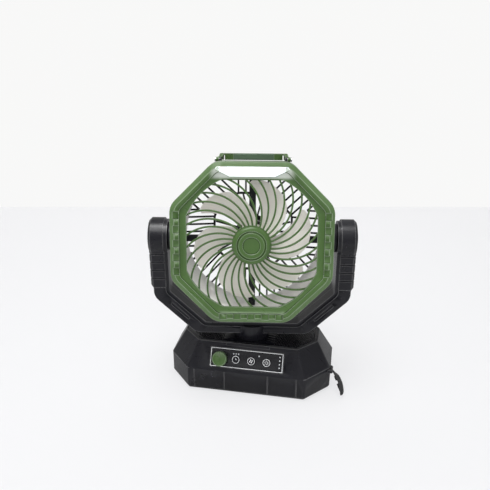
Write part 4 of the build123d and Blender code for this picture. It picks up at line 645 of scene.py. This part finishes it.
class FAN_OT_inner_works(FanPiece, Operator):
    """Finish the boards, cells, gears and other pieces inside"""

    bl_idname = "fan.inner_works"
    bl_label = "Inner works"

    def execute(self, context):
        wear(["control_board", "power_board", "lamp_board"],
             moulded("solder mask", (0.02, 0.11, 0.045), 0.3, grain=0.1, cloud=0.2))
        wear(["button_switches", "potentiometer", "battery_tray", "turntable_bearing"],
             moulded("grey moulding", (0.06, 0.06, 0.065), 0.45))
        wear(["battery_cells"], moulded("shrink sleeve", (0.05, 0.16, 0.42), 0.25, grain=0.05))
        wear(["lamp_leds"], moulded("phosphor", (0.9, 0.75, 0.25), 0.3, grain=0.05))
        wear(["sway_gear", "sway_pinion"], moulded("acetal", (0.78, 0.77, 0.73), 0.35, grain=0.05))
        wear(["motor_stator"], metal("copper winding", (0.75, 0.36, 0.16), 0.35, (1, 1, 60)))
        wear(["magnet_rotor"], metal("magnet", (0.16, 0.16, 0.17), 0.45))
        wear(["bottom_screws", "yoke_screws", "mount_screws", "retaining_clip", "friction_washers",
              "trunnion_nuts", "handle_pins", "rotor_nut", "motor_shaft", "motor_bearings",
              "motor_end_bell", "charging_sockets", "sway_motor"], plated())
        wear(["motor_can"], metal("motor can", (0.42, 0.42, 0.43), 0.34, (30, 30, 1)))
        return {"FINISHED"}


class FAN_OT_base(FanPiece, Operator):
    """Dress the base with its shell, cover, feet and grooved top"""

    bl_idname = "fan.base"
    bl_label = "Base"

    def execute(self, context):
        dressed("base_upper_shell", black(), 0.6, black_edge_highlight())
        dressed("base_bottom_cover", black(), 0.4)
        dressed("top_plate", smooth_black(), 0.2, black_edge_highlight())
        dressed("rubber_feet", rubber(), 0.4)
        return {"FINISHED"}


class FAN_OT_controls(FanPiece, Operator):
    """Dress the panel, knob and buttons and print their lines and symbols"""

    bl_idname = "fan.controls"
    bl_label = "Controls"

    # millimetres on the front slope of the base
    BORDER_HALF_W, BORDER_HALF_H, BORDER_UP = 51.2, 13.0, 19.5
    PANEL_FRONT = 0.5
    BUTTON_UP, BUTTON_FRONT = 18.2, 0.9
    BUTTONS = (("timer_button", -15.2), ("fan_button", 6.6), ("light_button", 28.4))
    RING_R = 5.2
    STROKE = 0.5

    def execute(self, context):
        sizes = context.scene.fan_print
        panel = moulded("panel plastic", (0.012, 0.012, 0.014), 0.22, grain=0.06, cloud=0.1)
        dressed("control_panel", panel, 0.2)
        dressed("speed_knob", green(), 0.3, green_edge_highlight())
        for node, _ in self.BUTTONS:
            dressed(node, smooth_black(), 0.15)
        wear(["indicator_lights"],
             moulded("light pipe", (0.75, 0.78, 0.8), 0.15, grain=0.0, Transmission_Weight=0.3))
        self.border(sizes)
        self.symbols(sizes)
        return {"FINISHED"}

    def border(self, sizes):
        """Print the line round the panel."""
        half_w, half_h, up, front = self.BORDER_HALF_W, self.BORDER_HALF_H, self.BORDER_UP, self.PANEL_FRONT
        outer = [(-half_w, -half_h), (half_w, -half_h), (half_w, half_h), (-half_w, half_h)]
        inner = [(x * (1 - sizes.line / half_w), y * (1 - sizes.line / half_h)) for x, y in outer]
        shape = bmesh.new()
        band(shape, [(x, y + up) for x, y in outer], [(x, y + up) for x, y in inner], front, front + sizes.ink)
        put("panel_border", from_bmesh("panel border", shape, SLOPE), "base", "panel_plastic", ink())

    def symbols(self, sizes):
        """Print a generic symbol on each button: a clock, a fan and a lamp."""
        for (node, x), draw in zip(self.BUTTONS, (self.clock, self.fan, self.lamp)):
            shape = bmesh.new()
            band(shape, circle(self.RING_R), circle(self.RING_R - sizes.ring), 0, sizes.ink)
            draw(shape, sizes)
            matrix = SLOPE @ Matrix.Translation(Vector((x, self.BUTTON_UP, self.BUTTON_FRONT)) * MM)
            mesh = from_bmesh(node + " symbol", shape, matrix)
            put(node + "_symbol", mesh, body_of(node), "button_plastic", ink())

    def clock(self, shape, sizes):
        """Two hands and a crown that stays within the button's rim."""
        prism(shape, bar_outline((0, 0), (0, 2.6), self.STROKE), 0, sizes.ink)
        prism(shape, bar_outline((0, 0), (1.7, 0), self.STROKE), 0, sizes.ink * 0.8)
        prism(shape, bar_outline((0, 5.1), (0, 5.55), 1.3), 0, sizes.ink * 0.9)

    def fan(self, shape, sizes):
        """Four small blades."""
        for quarter in range(4):
            turn = Matrix.Rotation(quarter * pi / 2 + 0.4, 2)
            petal = [turn @ Vector(p) for p in ((0.5, 0), (1.6, -0.9), (2.9, -0.3), (2.2, 0.9))]
            prism(shape, [tuple(p) for p in petal], 0, sizes.ink)

    def lamp(self, shape, sizes):
        """A small ring with rays."""
        band(shape, circle(2.0), circle(1.5), 0, sizes.ink)
        for step in range(8):
            ray = Matrix.Rotation(step * pi / 4, 2)
            ends = [tuple(ray @ Vector(p)) for p in ((2.7, 0), (3.6, 0))]
            prism(shape, bar_outline(*ends, 0.45), 0, sizes.ink)


class FAN_OT_socket_cover(FanPiece, Operator):
    """Dress the rubber cover of the charging sockets"""

    bl_idname = "fan.socket_cover"
    bl_label = "Socket cover"

    def execute(self, context):
        dressed("port_cover", rubber(), 0.5)
        return {"FINISHED"}


class FAN_OT_yoke(FanPiece, Operator):
    """Dress the yoke, its grooved arm covers, caps and turntable hub"""

    bl_idname = "fan.yoke"
    bl_label = "Yoke"

    def execute(self, context):
        for node in ("yoke_front", "yoke_rear"):
            dressed(node, black(), 0.7, black_edge_highlight())
        for node in ("arm_cover_left", "arm_cover_right"):
            dressed(node, black(), 0.5, black_edge_highlight())
        dressed("pivot_caps", smooth_black(), 0.3, black_edge_highlight())
        dressed("yoke_hub", black(), 0.4)
        return {"FINISHED"}


class FAN_OT_front_frame(FanPiece, Operator):
    """Dress the octagonal frame and the lens of the lamp"""

    bl_idname = "fan.front_frame"
    bl_label = "Front frame"

    # thin pieces at the right end of the lens, in millimetres on the head; the left ones mirror them
    LENS_END = [(43.2, 98.3), (44.3, 98.3), (46.3, 95.4), (40.6, 92.3), (42.4, 96.3)]
    LENS_LINE = [(42.4, 98.4), (43.1, 98.4), (42.0, 96.1), (41.4, 96.1)]
    LENS_BACK, LENS_FRONT = 49.35, 49.46
    # the bevel faces that get a painted highlight: where they face and how far ahead of the pivot they start, in
    # metres
    RIM_FACING = (0.8, 0.96)
    RIM_AHEAD = 0.045
    # finish of the painted rim highlight; the edges' finish is a painted highlight and the creases' is painted
    # shade
    RIM_HIGHLIGHT_INDEX = 3  # comes after the frame's own finish, its edges' and its creases'
    # the band of painted glare fades in between the first and the second value, in metres on the head
    GLARE_ASIDE = (0.056, 0.044)
    GLARE_UP = (0.0815, 0.0875)
    GLARE_TOP = (0.0996, 0.0986)
    GLARE_AHEAD = (0.0455, 0.0462)

    def execute(self, context):
        frame_piece = dressed("front_frame", self.green_with_painted_glare(), 0.55, green_edge_highlight(), green_crease_shade(), 18)
        self.paint_rim_highlight(frame_piece.data)
        lens = moulded("opal lens", tint_of("lens"), 0.16, grain=0.0, cloud=0.01,
                       Coat_Weight=0.4, Coat_Roughness=0.1, Subsurface_Weight=0.15)
        dressed("lamp_lens", lens, 0.3)
        clear = moulded("clear end of the lens", (0.5, 0.56, 0.5), 0.14, grain=0.0, cloud=0.02)
        dark = moulded("shadow line of the lens", (0.05, 0.07, 0.05), 0.4, grain=0.0, cloud=0.02)
        for side, name in ((-1, "left"), (1, "right")):
            for material, kind, outline in ((clear, "end", self.LENS_END), (dark, "line", self.LENS_LINE)):
                points = [(side * x, y) for x, y in outline]
                shape = bmesh.new()
                prism(shape, points if side > 0 else points[::-1], self.LENS_BACK, self.LENS_FRONT)
                mesh = from_bmesh(f"lens {kind} {name}", shape, FACE)
                put(f"lens_{kind}_{name}", mesh, "head", "lens_plastic", material)
        return {"FINISHED"}

    def paint_rim_highlight(self, mesh):
        """Give the bevel round the frame's front a painted highlight in a paler green."""
        tint = lifted(tint_of("green"), 0.014, 1.16)
        mesh.materials.append(moulded("green rim", tint, 0.34, grain=0.12, cloud=0.05, Specular_IOR_Level=0.5))
        low, high = self.RIM_FACING
        for polygon in mesh.polygons:
            ahead = (polygon.center - PIVOT).dot(FACING)
            if polygon.material_index == 0 and low < polygon.normal.dot(FACING) < high and ahead > self.RIM_AHEAD:
                polygon.material_index = self.RIM_HIGHLIGHT_INDEX

    def green_with_painted_glare(self):
        """Green plastic with painted glare, a pale silvery band, round the lens."""
        shade = Shade("green plastic round the lens", green())
        turn = FACE.to_3x3().transposed()
        on_head = shade.add(
            "ShaderNodeMapping", Vector=shade.place, Rotation=turn.to_euler(), Location=-(turn @ PIVOT)).outputs[0]
        aside, up, ahead = (shade.part(on_head, axis) for axis in "XYZ")
        glare_amount = self.step(shade, shade.maths("ABSOLUTE", aside), *self.GLARE_ASIDE)
        for value, ends in ((up, self.GLARE_UP), (up, self.GLARE_TOP), (ahead, self.GLARE_AHEAD)):
            glare_amount = shade.maths("MULTIPLY", glare_amount, self.step(shade, value, *ends))
        base = shade.shader.inputs["Base Color"].links[0].from_socket
        # the painted glare: the base colour blended towards a pale silvery green near the lens
        shade.set("Base_Color", shade.blend(glare_amount, base, lifted(tint_of("green"), 0.4, 0.6)))
        return shade.material

    def step(self, shade, value, start, end):
        """A soft step from 0 at the start to 1 at the end."""
        rises = end > start
        low, high = min(start, end), max(start, end)
        return shade.spread(value, low, high, 0 if rises else 1, 1 if rises else 0, "SMOOTHSTEP")


class FAN_OT_front_grille(FanPiece, Operator):
    """Grow the swirling ribs and add their hub disc and rim"""

    bl_idname = "fan.front_grille"
    bl_label = "Front grille"

    # a rib's middle line: distance from the hub, degrees round it and how far ahead its front lies
    RIB_LINE = ((22.0, -3.0, 52.0), (55.0, 10.8, 50.2), (94.0, 36.0, 44.2))
    RIM = [(91.6, 41.4), (97.0, 41.4), (97.0, 44.9), (91.6, 44.9)]
    DISC = [(0, 48.9), (25.4, 48.9), (25.4, 52.0), (0, 52.0)]
    # the bar below the lamp
    BAR_HALF, BAR_LOW, BAR_TOP = 48.5, 81.9, 83.7
    BAR_BACK, BAR_FRONT = 41.5, 44.9
    RIBS_TOP = 83.0

    def execute(self, context):
        sizes = context.scene.fan_grille
        points = []
        for radius, turn, front in self.RIB_LINE:
            angle = radians(turn)
            points.append(Vector((-radius * sin(angle), radius * cos(angle), front - sizes.deep / 2)) * MM)
        mesh = grown(rib_tree(), {
            "Ribs": sizes.ribs, "Root": points[0], "Middle": points[1], "Tip": points[2],
            "Width": sizes.width * MM, "Depth": sizes.deep * MM, "Rounding": sizes.rounding * MM,
            "Material": green()})
        shape = bmesh.new()
        shape.from_mesh(mesh)
        bmesh.ops.scale(shape, vec=(1 / MM,) * 3, verts=shape.verts)
        self.cut(shape, self.RIBS_TOP)
        rim = bmesh.new()
        lathe(rim, rounded(self.RIM, 0.5))
        self.cut(rim, self.BAR_TOP)
        self.join(shape, rim)
        lathe(shape, rounded(self.DISC, 0.9))
        half, low, top = self.BAR_HALF, self.BAR_LOW, self.BAR_TOP
        prism(shape, [(-half, low), (half, low), (half, top), (-half, top)], self.BAR_BACK, self.BAR_FRONT)
        mesh = from_bmesh("front grille", shape, FACE, 40)
        put("swirl_grille", mesh, "head", "green_plastic", green(), replaced=("front_grille",))
        return {"FINISHED"}

    def cut(self, shape, top):
        """Cut a shape off above a height and close it."""
        bmesh.ops.bisect_plane(
            shape, geom=shape.verts[:] + shape.edges[:] + shape.faces[:], plane_co=(0, top, 0),
            plane_no=(0, 1, 0), clear_outer=True)
        bmesh.ops.holes_fill(shape, edges=[e for e in shape.edges if e.is_boundary])

    def join(self, shape, other):
        """Take another shape in."""
        spare = stored("spare", other)
        shape.from_mesh(spare)
        bpy.data.meshes.remove(spare)


class FAN_OT_hub_cap(FanPiece, Operator):
    """Turn the domed cap in the middle of the grille"""

    bl_idname = "fan.hub_cap"
    bl_label = "Hub cap"

    PROFILE = [
        (0, 52.05), (24.2, 52.05), (24.4, 54.2), (23.6, 56.1), (22.0, 57.1), (19.6, 57.8),
        (18.9, 57.0), (17.3, 57.0), (16.6, 57.9), (11.6, 57.9), (10.9, 57.1), (0, 57.1),
    ]
    # thin rings on the cap's edges and in its grooves, painted highlights on the edges and painted shade in the
    # grooves: name, radius, width, height, finish
    PAINTED_RINGS = (
        ("outer", 19.5, 0.45, 57.78, green_edge_highlight), ("groove", 18.5, 0.8, 57.06, green_crease_shade),
        ("middle", 16.4, 0.4, 57.9, green_edge_highlight), ("inner", 11.7, 0.4, 57.9, green_edge_highlight),
        ("well", 10.6, 0.5, 57.12, green_crease_shade),
    )
    RING_BELOW, RING_ABOVE = 0.1, 0.05

    def execute(self, context):
        shape = bmesh.new()
        lathe(shape, rounded(self.PROFILE, 0.4), 128)
        mesh = from_bmesh("hub cap", shape, FACE, 50)
        glossy = moulded("polished green plastic", tint_of("green"), 0.2, grain=0.04, cloud=0.04)
        put("domed_hub_cap", mesh, "head", "green_plastic", glossy, replaced=("hub_cap",))
        for name, radius, width, high, finish in self.PAINTED_RINGS:
            shape = bmesh.new()
            outer, inner = circle(radius, steps=96), circle(radius - width, steps=96)
            band(shape, outer, inner, high - self.RING_BELOW, high + self.RING_ABOVE)
            mesh = from_bmesh("hub ring " + name, shape, FACE)
            put("hub_ring_" + name, mesh, "head", "green_plastic", finish())
        return {"FINISHED"}


def along(table, value):
    """Read a smooth curve through (value, result) pairs."""
    if value <= table[0][0]:
        return table[0][1]
    for index in range(len(table) - 1):
        x0, y0 = table[index]
        x1, y1 = table[index + 1]
        if value <= x1:
            xa, ya = table[max(index - 1, 0)]
            xb, yb = table[min(index + 2, len(table) - 1)]
            span = x1 - x0
            m0 = (y1 - ya) / (x1 - xa) * span
            m1 = (yb - y0) / (xb - x0) * span
            t = (value - x0) / span
            return ((2 * t ** 3 - 3 * t ** 2 + 1) * y0 + (t ** 3 - 2 * t ** 2 + t) * m0
                    + (3 * t ** 2 - 2 * t ** 3) * y1 + (t ** 3 - t ** 2) * m1)
    return table[-1][1]


class FAN_OT_rotor(FanPiece, Operator):
    """Shape one blade, copy it round the hub and turn the hub"""

    bl_idname = "fan.rotor"
    bl_label = "Rotor"

    # edges, middle and pitch of a blade in degrees by radius; its tip's radius from leading to trailing edge
    LEADING = [(18.0, 24.6), (42.0, 38.0), (62.0, 48.5), (75.0, 55.5), (81.0, 58.5)]
    TRAILING = [(18.0, -25.4), (42.0, -8.0), (60.0, 5.5), (67.0, 11.5), (81.0, 24.0)]
    TIP = [(0.0, 75.0), (0.13, 78.8), (0.286, 80.0), (0.58, 79.0), (0.858, 74.0), (0.96, 69.5), (1.0, 64.5)]
    SWEEP = [(12.0, -8.0), (40.0, 8.0), (64.0, 22.0), (92.0, 34.0)]
    PITCH = [(12.0, 40.0), (40.0, 28.0), (64.0, 20.0), (92.0, 15.0)]
    ROOT_R = 20.5
    HUB_MIDDLE = 27.5
    REST_TURN = 7.5
    HUB = [(2.5, 42.0), (2.5, 16.0), (6.0, 16.0), (6.0, 39.8), (19.8, 39.8), (19.8, 15.6), (22.0, 15.6),
           (22.0, 39.0), (19.0, 42.0)]
    ROWS, COLUMNS = 30, 24
    THICKENING = 9  # a blade is at its full thickness a ninth of the way in from an edge

    def execute(self, context):
        sizes = context.scene.fan_rotor
        blade = self.blade(sizes)
        mesh = grown(copies_tree(), {"Count": sizes.blades, "Material": pale()}, blade)
        shape = bmesh.new()
        shape.from_mesh(mesh)
        lathe(shape, rounded(self.HUB, 1.2))
        mesh = from_bmesh("bladed rotor", shape, FACE @ Matrix.Rotation(radians(self.REST_TURN), 4, "Z"), 40)
        put("bladed_rotor", mesh, "rotor", "duct_plastic", pale(), replaced=("fan_rotor",))
        return {"FINISHED"}

    def surface(self, around, out, camber):
        """A point of the blade's middle surface, from leading (0) to trailing (1) edge and root to tip."""
        tip = along(self.TIP, around)
        radius = self.ROOT_R + (tip - self.ROOT_R) * out
        turn = (1 - around) * along(self.LEADING, radius) + around * along(self.TRAILING, radius)
        behind = radians(along(self.SWEEP, radius) - turn)
        ahead = radius * sin(behind) * tan(radians(along(self.PITCH, radius)))
        ahead -= camber * (1 - (2 * around - 1) ** 2)
        angle = radians(turn)
        return Vector((-radius * sin(angle), radius * cos(angle), self.HUB_MIDDLE + ahead))

    def blade(self, sizes):
        """One blade in millimetres, as a grid with two sides and a rounded edge."""
        rows, columns = self.ROWS, self.COLUMNS
        step = 1e-3
        shape = bmesh.new()
        sides = []
        for side in (1, -1):
            grid = []
            for i in range(rows + 1):
                line = []
                for j in range(columns + 1):
                    around, out = i / rows, j / columns
                    here = self.surface(around, out, sizes.camber)
                    du = self.surface(min(around + step, 1), out, sizes.camber) - self.surface(
                        max(around - step, 0), out, sizes.camber)
                    dv = self.surface(around, min(out + step, 1), sizes.camber) - self.surface(
                        around, max(out - step, 0), sizes.camber)
                    normal = du.cross(dv).normalized()
                    away = min(around, 1 - around, (1 - out) * 1.4) * self.THICKENING
                    thick = sizes.edge + (sizes.thickness - sizes.edge) * min(1.0, away) ** 0.6
                    line.append(shape.verts.new(here + normal * side * thick / 2))
                grid.append(line)
            sides.append(grid)
        for side, grid in enumerate(sides):
            for i in range(rows):
                for j in range(columns):
                    corners = (grid[i][j], grid[i + 1][j], grid[i + 1][j + 1], grid[i][j + 1])
                    shape.faces.new(corners if side else corners[::-1])
        rim = [(i, 0) for i in range(rows)] + [(rows, j) for j in range(columns)]
        rim += [(i, columns) for i in range(rows, 0, -1)] + [(0, j) for j in range(columns, 0, -1)]
        for (a, b), (c, d) in zip(rim, rim[1:] + rim[:1]):
            shape.faces.new((sides[0][a][b], sides[1][a][b], sides[1][c][d], sides[0][c][d]))
        bmesh.ops.recalc_face_normals(shape, faces=shape.faces)
        return stored("blade", shape)


class FAN_OT_air_path(FanPiece, Operator):
    """Dress the duct, the motor mount, the rear shell and the rear grille"""

    bl_idname = "fan.air_path"
    bl_label = "Air path"

    def execute(self, context):
        dressed("air_duct", white(), 0.3)
        dressed("motor_mount", black(), 0.5)
        dressed("rear_shell", smooth_black(), 0.6)
        dressed("rear_grille", smooth_black(), 0.25)
        for node in ("trunnion_left", "trunnion_right"):
            dressed(node, black(), 0.4)
        return {"FINISHED"}


class FAN_OT_handle(FanPiece, Operator):
    """Dress the folding handle, its grip and its brackets"""

    bl_idname = "fan.handle"
    bl_label = "Handle"

    def execute(self, context):
        dressed("carry_handle", green(), 0.5, green_edge_highlight())
        grip = moulded("soft grip", tint_of("grip"), 0.55, grain=0.5, cloud=0.06)
        dressed("handle_grip", grip, 0.3)
        dressed("handle_brackets", black(), 0.3)
        return {"FINISHED"}


class FAN_OT_stage(FanPiece, Operator):
    """Add the table, backdrop, lights and camera"""

    bl_idname = "fan.stage"
    bl_label = "Stage"

    # camera: degrees, and millimetres from and of the point that it looks at
    AZIMUTH = 10.42
    ELEVATION = 24.04
    DISTANCE = 829.0
    TARGET = (-10.2, 0.0, 209.3)
    LENS = 44.67
    # table and backdrop, in metres
    HALF = 6.0
    BACKDROP_AWAY = 0.71
    BACKDROP_HIGH = 5.0
    # name, place and size in metres, setting that holds its power, and whether gloss shows it
    LAMPS = (
        ("key lamp", (-0.3, -0.5, 1.5), 0.9, "key", True),
        ("fill lamp", (0.3, -1.6, 0.75), 1.4, "fill", False),
        ("top lamp", (-0.05, -0.1, 1.3), 0.45, "top", True),
    )
    LAMPS_AIM = Vector((0, 0, 0.18))

    def execute(self, context):
        stage = context.scene.fan_stage
        half = self.HALF
        floor = [(-half, -half, 0), (half, -half, 0), (half, half, 0), (-half, half, 0)]
        self.sheet("table top", floor, stage.floor, 0.8)
        azimuth = radians(self.AZIMUTH)
        middle = Vector((-sin(azimuth), cos(azimuth), 0)) * self.BACKDROP_AWAY
        side = Vector((cos(azimuth), sin(azimuth), 0)) * half
        up = Vector((0, 0, self.BACKDROP_HIGH))
        self.sheet("backdrop", [middle - side, middle + side, middle + side + up, middle - side + up],
                   stage.wall, 1.0)
        for name, where, size, power, mirrored in self.LAMPS:
            self.lamp(name, where, size, getattr(stage, power), mirrored)
        self.room(context, stage.sky)
        self.camera(context)
        context.scene.view_settings.view_transform = "Standard"
        return {"FINISHED"}

    def sheet(self, name, corners, tint, glow):
        """A flat surface that shows as its own colour to the camera, with the object's shadow."""
        mesh = bpy.data.meshes.new(name)
        mesh.from_pydata([tuple(c) for c in corners], [], [(0, 1, 2, 3)])
        surface = added(name, mesh)
        shade = Shade(name, Roughness=0.9, Specular_IOR_Level=0.0)
        shade.set("Base_Color", shade.blend(shade.noise(3, 2), scaled(tint, 0.995), scaled(tint, 1.005)))
        path = shade.add("ShaderNodeLightPath").outputs
        seen = shade.maths("MAXIMUM", path["Is Camera Ray"], path["Is Glossy Ray"])
        seen = shade.maths("MAXIMUM", seen, path["Is Transmission Ray"])
        in_gloss = 0.45
        strength = shade.spread(path["Is Glossy Ray"], 0, 1, 1, in_gloss)
        light = shade.add("ShaderNodeEmission", Color=tuple(tint) + (1,), Strength=strength)
        share = shade.maths("MULTIPLY", seen, glow)
        mix = shade.add("ShaderNodeMixShader", None, share, shade.shader.outputs[0], light.outputs[0])
        shade.show(mix.outputs[0])
        mesh.materials.append(shade.material)

    def room(self, context, strength):
        """White surroundings, brightest overhead."""
        world = context.scene.world or bpy.data.worlds.new("room")
        context.scene.world = world
        world.use_nodes = True
        nodes = Nodes(world.node_tree)
        height = nodes.part(nodes.add("ShaderNodeTexCoord").outputs["Generated"], "Z")
        background = nodes.tree.nodes["Background"].inputs
        background["Color"].default_value = (1, 1, 1, 1)
        nodes.feed(background["Strength"], nodes.spread(height, 0.0, 0.9, 0.35 * strength, 1.7 * strength))

    def lamp(self, name, where, size, power, mirrored):
        """A square soft light that looks at the fan; one that isn't mirrored leaves no highlight."""
        light = bpy.data.lights.new(name, "AREA")
        light.size = size
        light.energy = power
        holder = added(name, light)
        holder.visible_glossy = mirrored
        holder.location = where
        aim = self.LAMPS_AIM - Vector(where)
        holder.rotation_euler = aim.to_track_quat("-Z", "Y").to_euler()

    def camera(self, context):
        """The camera, above the fan and a little to the right of its front."""
        azimuth, elevation = radians(self.AZIMUTH), radians(self.ELEVATION)
        away = Vector((sin(azimuth) * cos(elevation), -cos(azimuth) * cos(elevation), sin(elevation)))
        data = bpy.data.cameras.new("camera")
        data.sensor_width = 36
        data.lens = self.LENS
        data.clip_start = 0.01
        camera = added("camera", data)
        camera.location = (Vector(self.TARGET) + away * self.DISTANCE) * MM
        camera.rotation_euler = (-away).to_track_quat("-Z", "Y").to_euler()
        context.scene.camera = camera


OPERATORS = (
    FAN_OT_inner_works, FAN_OT_base, FAN_OT_controls, FAN_OT_socket_cover, FAN_OT_yoke, FAN_OT_front_frame,
    FAN_OT_front_grille, FAN_OT_hub_cap, FAN_OT_rotor, FAN_OT_air_path, FAN_OT_handle, FAN_OT_stage,
)
GROUPS = (
    ("fan_finishes", FanFinishes), ("fan_grille", GrilleSizes), ("fan_rotor", RotorSizes),
    ("fan_print", PrintSizes), ("fan_stage", StageSettings),
)


class FAN_PT_pieces(Panel):
    """Lists the operators and settings"""

    bl_idname = "FAN_PT_pieces"
    bl_label = "Camping fan"
    bl_space_type = "VIEW_3D"
    bl_region_type = "UI"
    bl_category = "Camping fan"

    def draw(self, context):
        for operator in OPERATORS:
            self.layout.operator(operator.bl_idname)
        for name, group in GROUPS:
            box = self.layout.box()
            for key in group.__annotations__:
                box.prop(getattr(context.scene, name), key)


def register():
    """Add the settings, the operators and the panel."""
    for name, group in GROUPS:
        bpy.utils.register_class(group)
        setattr(bpy.types.Scene, name, PointerProperty(type=group))
    for operator in OPERATORS:
        bpy.utils.register_class(operator)
    bpy.utils.register_class(FAN_PT_pieces)


def unregister():
    """Take them all away again."""
    bpy.utils.unregister_class(FAN_PT_pieces)
    for operator in reversed(OPERATORS):
        bpy.utils.unregister_class(operator)
    for name, group in reversed(GROUPS):
        delattr(bpy.types.Scene, name)
        bpy.utils.unregister_class(group)


def main():
    """Build every piece and the stage."""
    register()
    for operator in OPERATORS:
        group, name = operator.bl_idname.split(".")
        getattr(getattr(bpy.ops, group), name)()


if __name__ == "__main__":
    main()
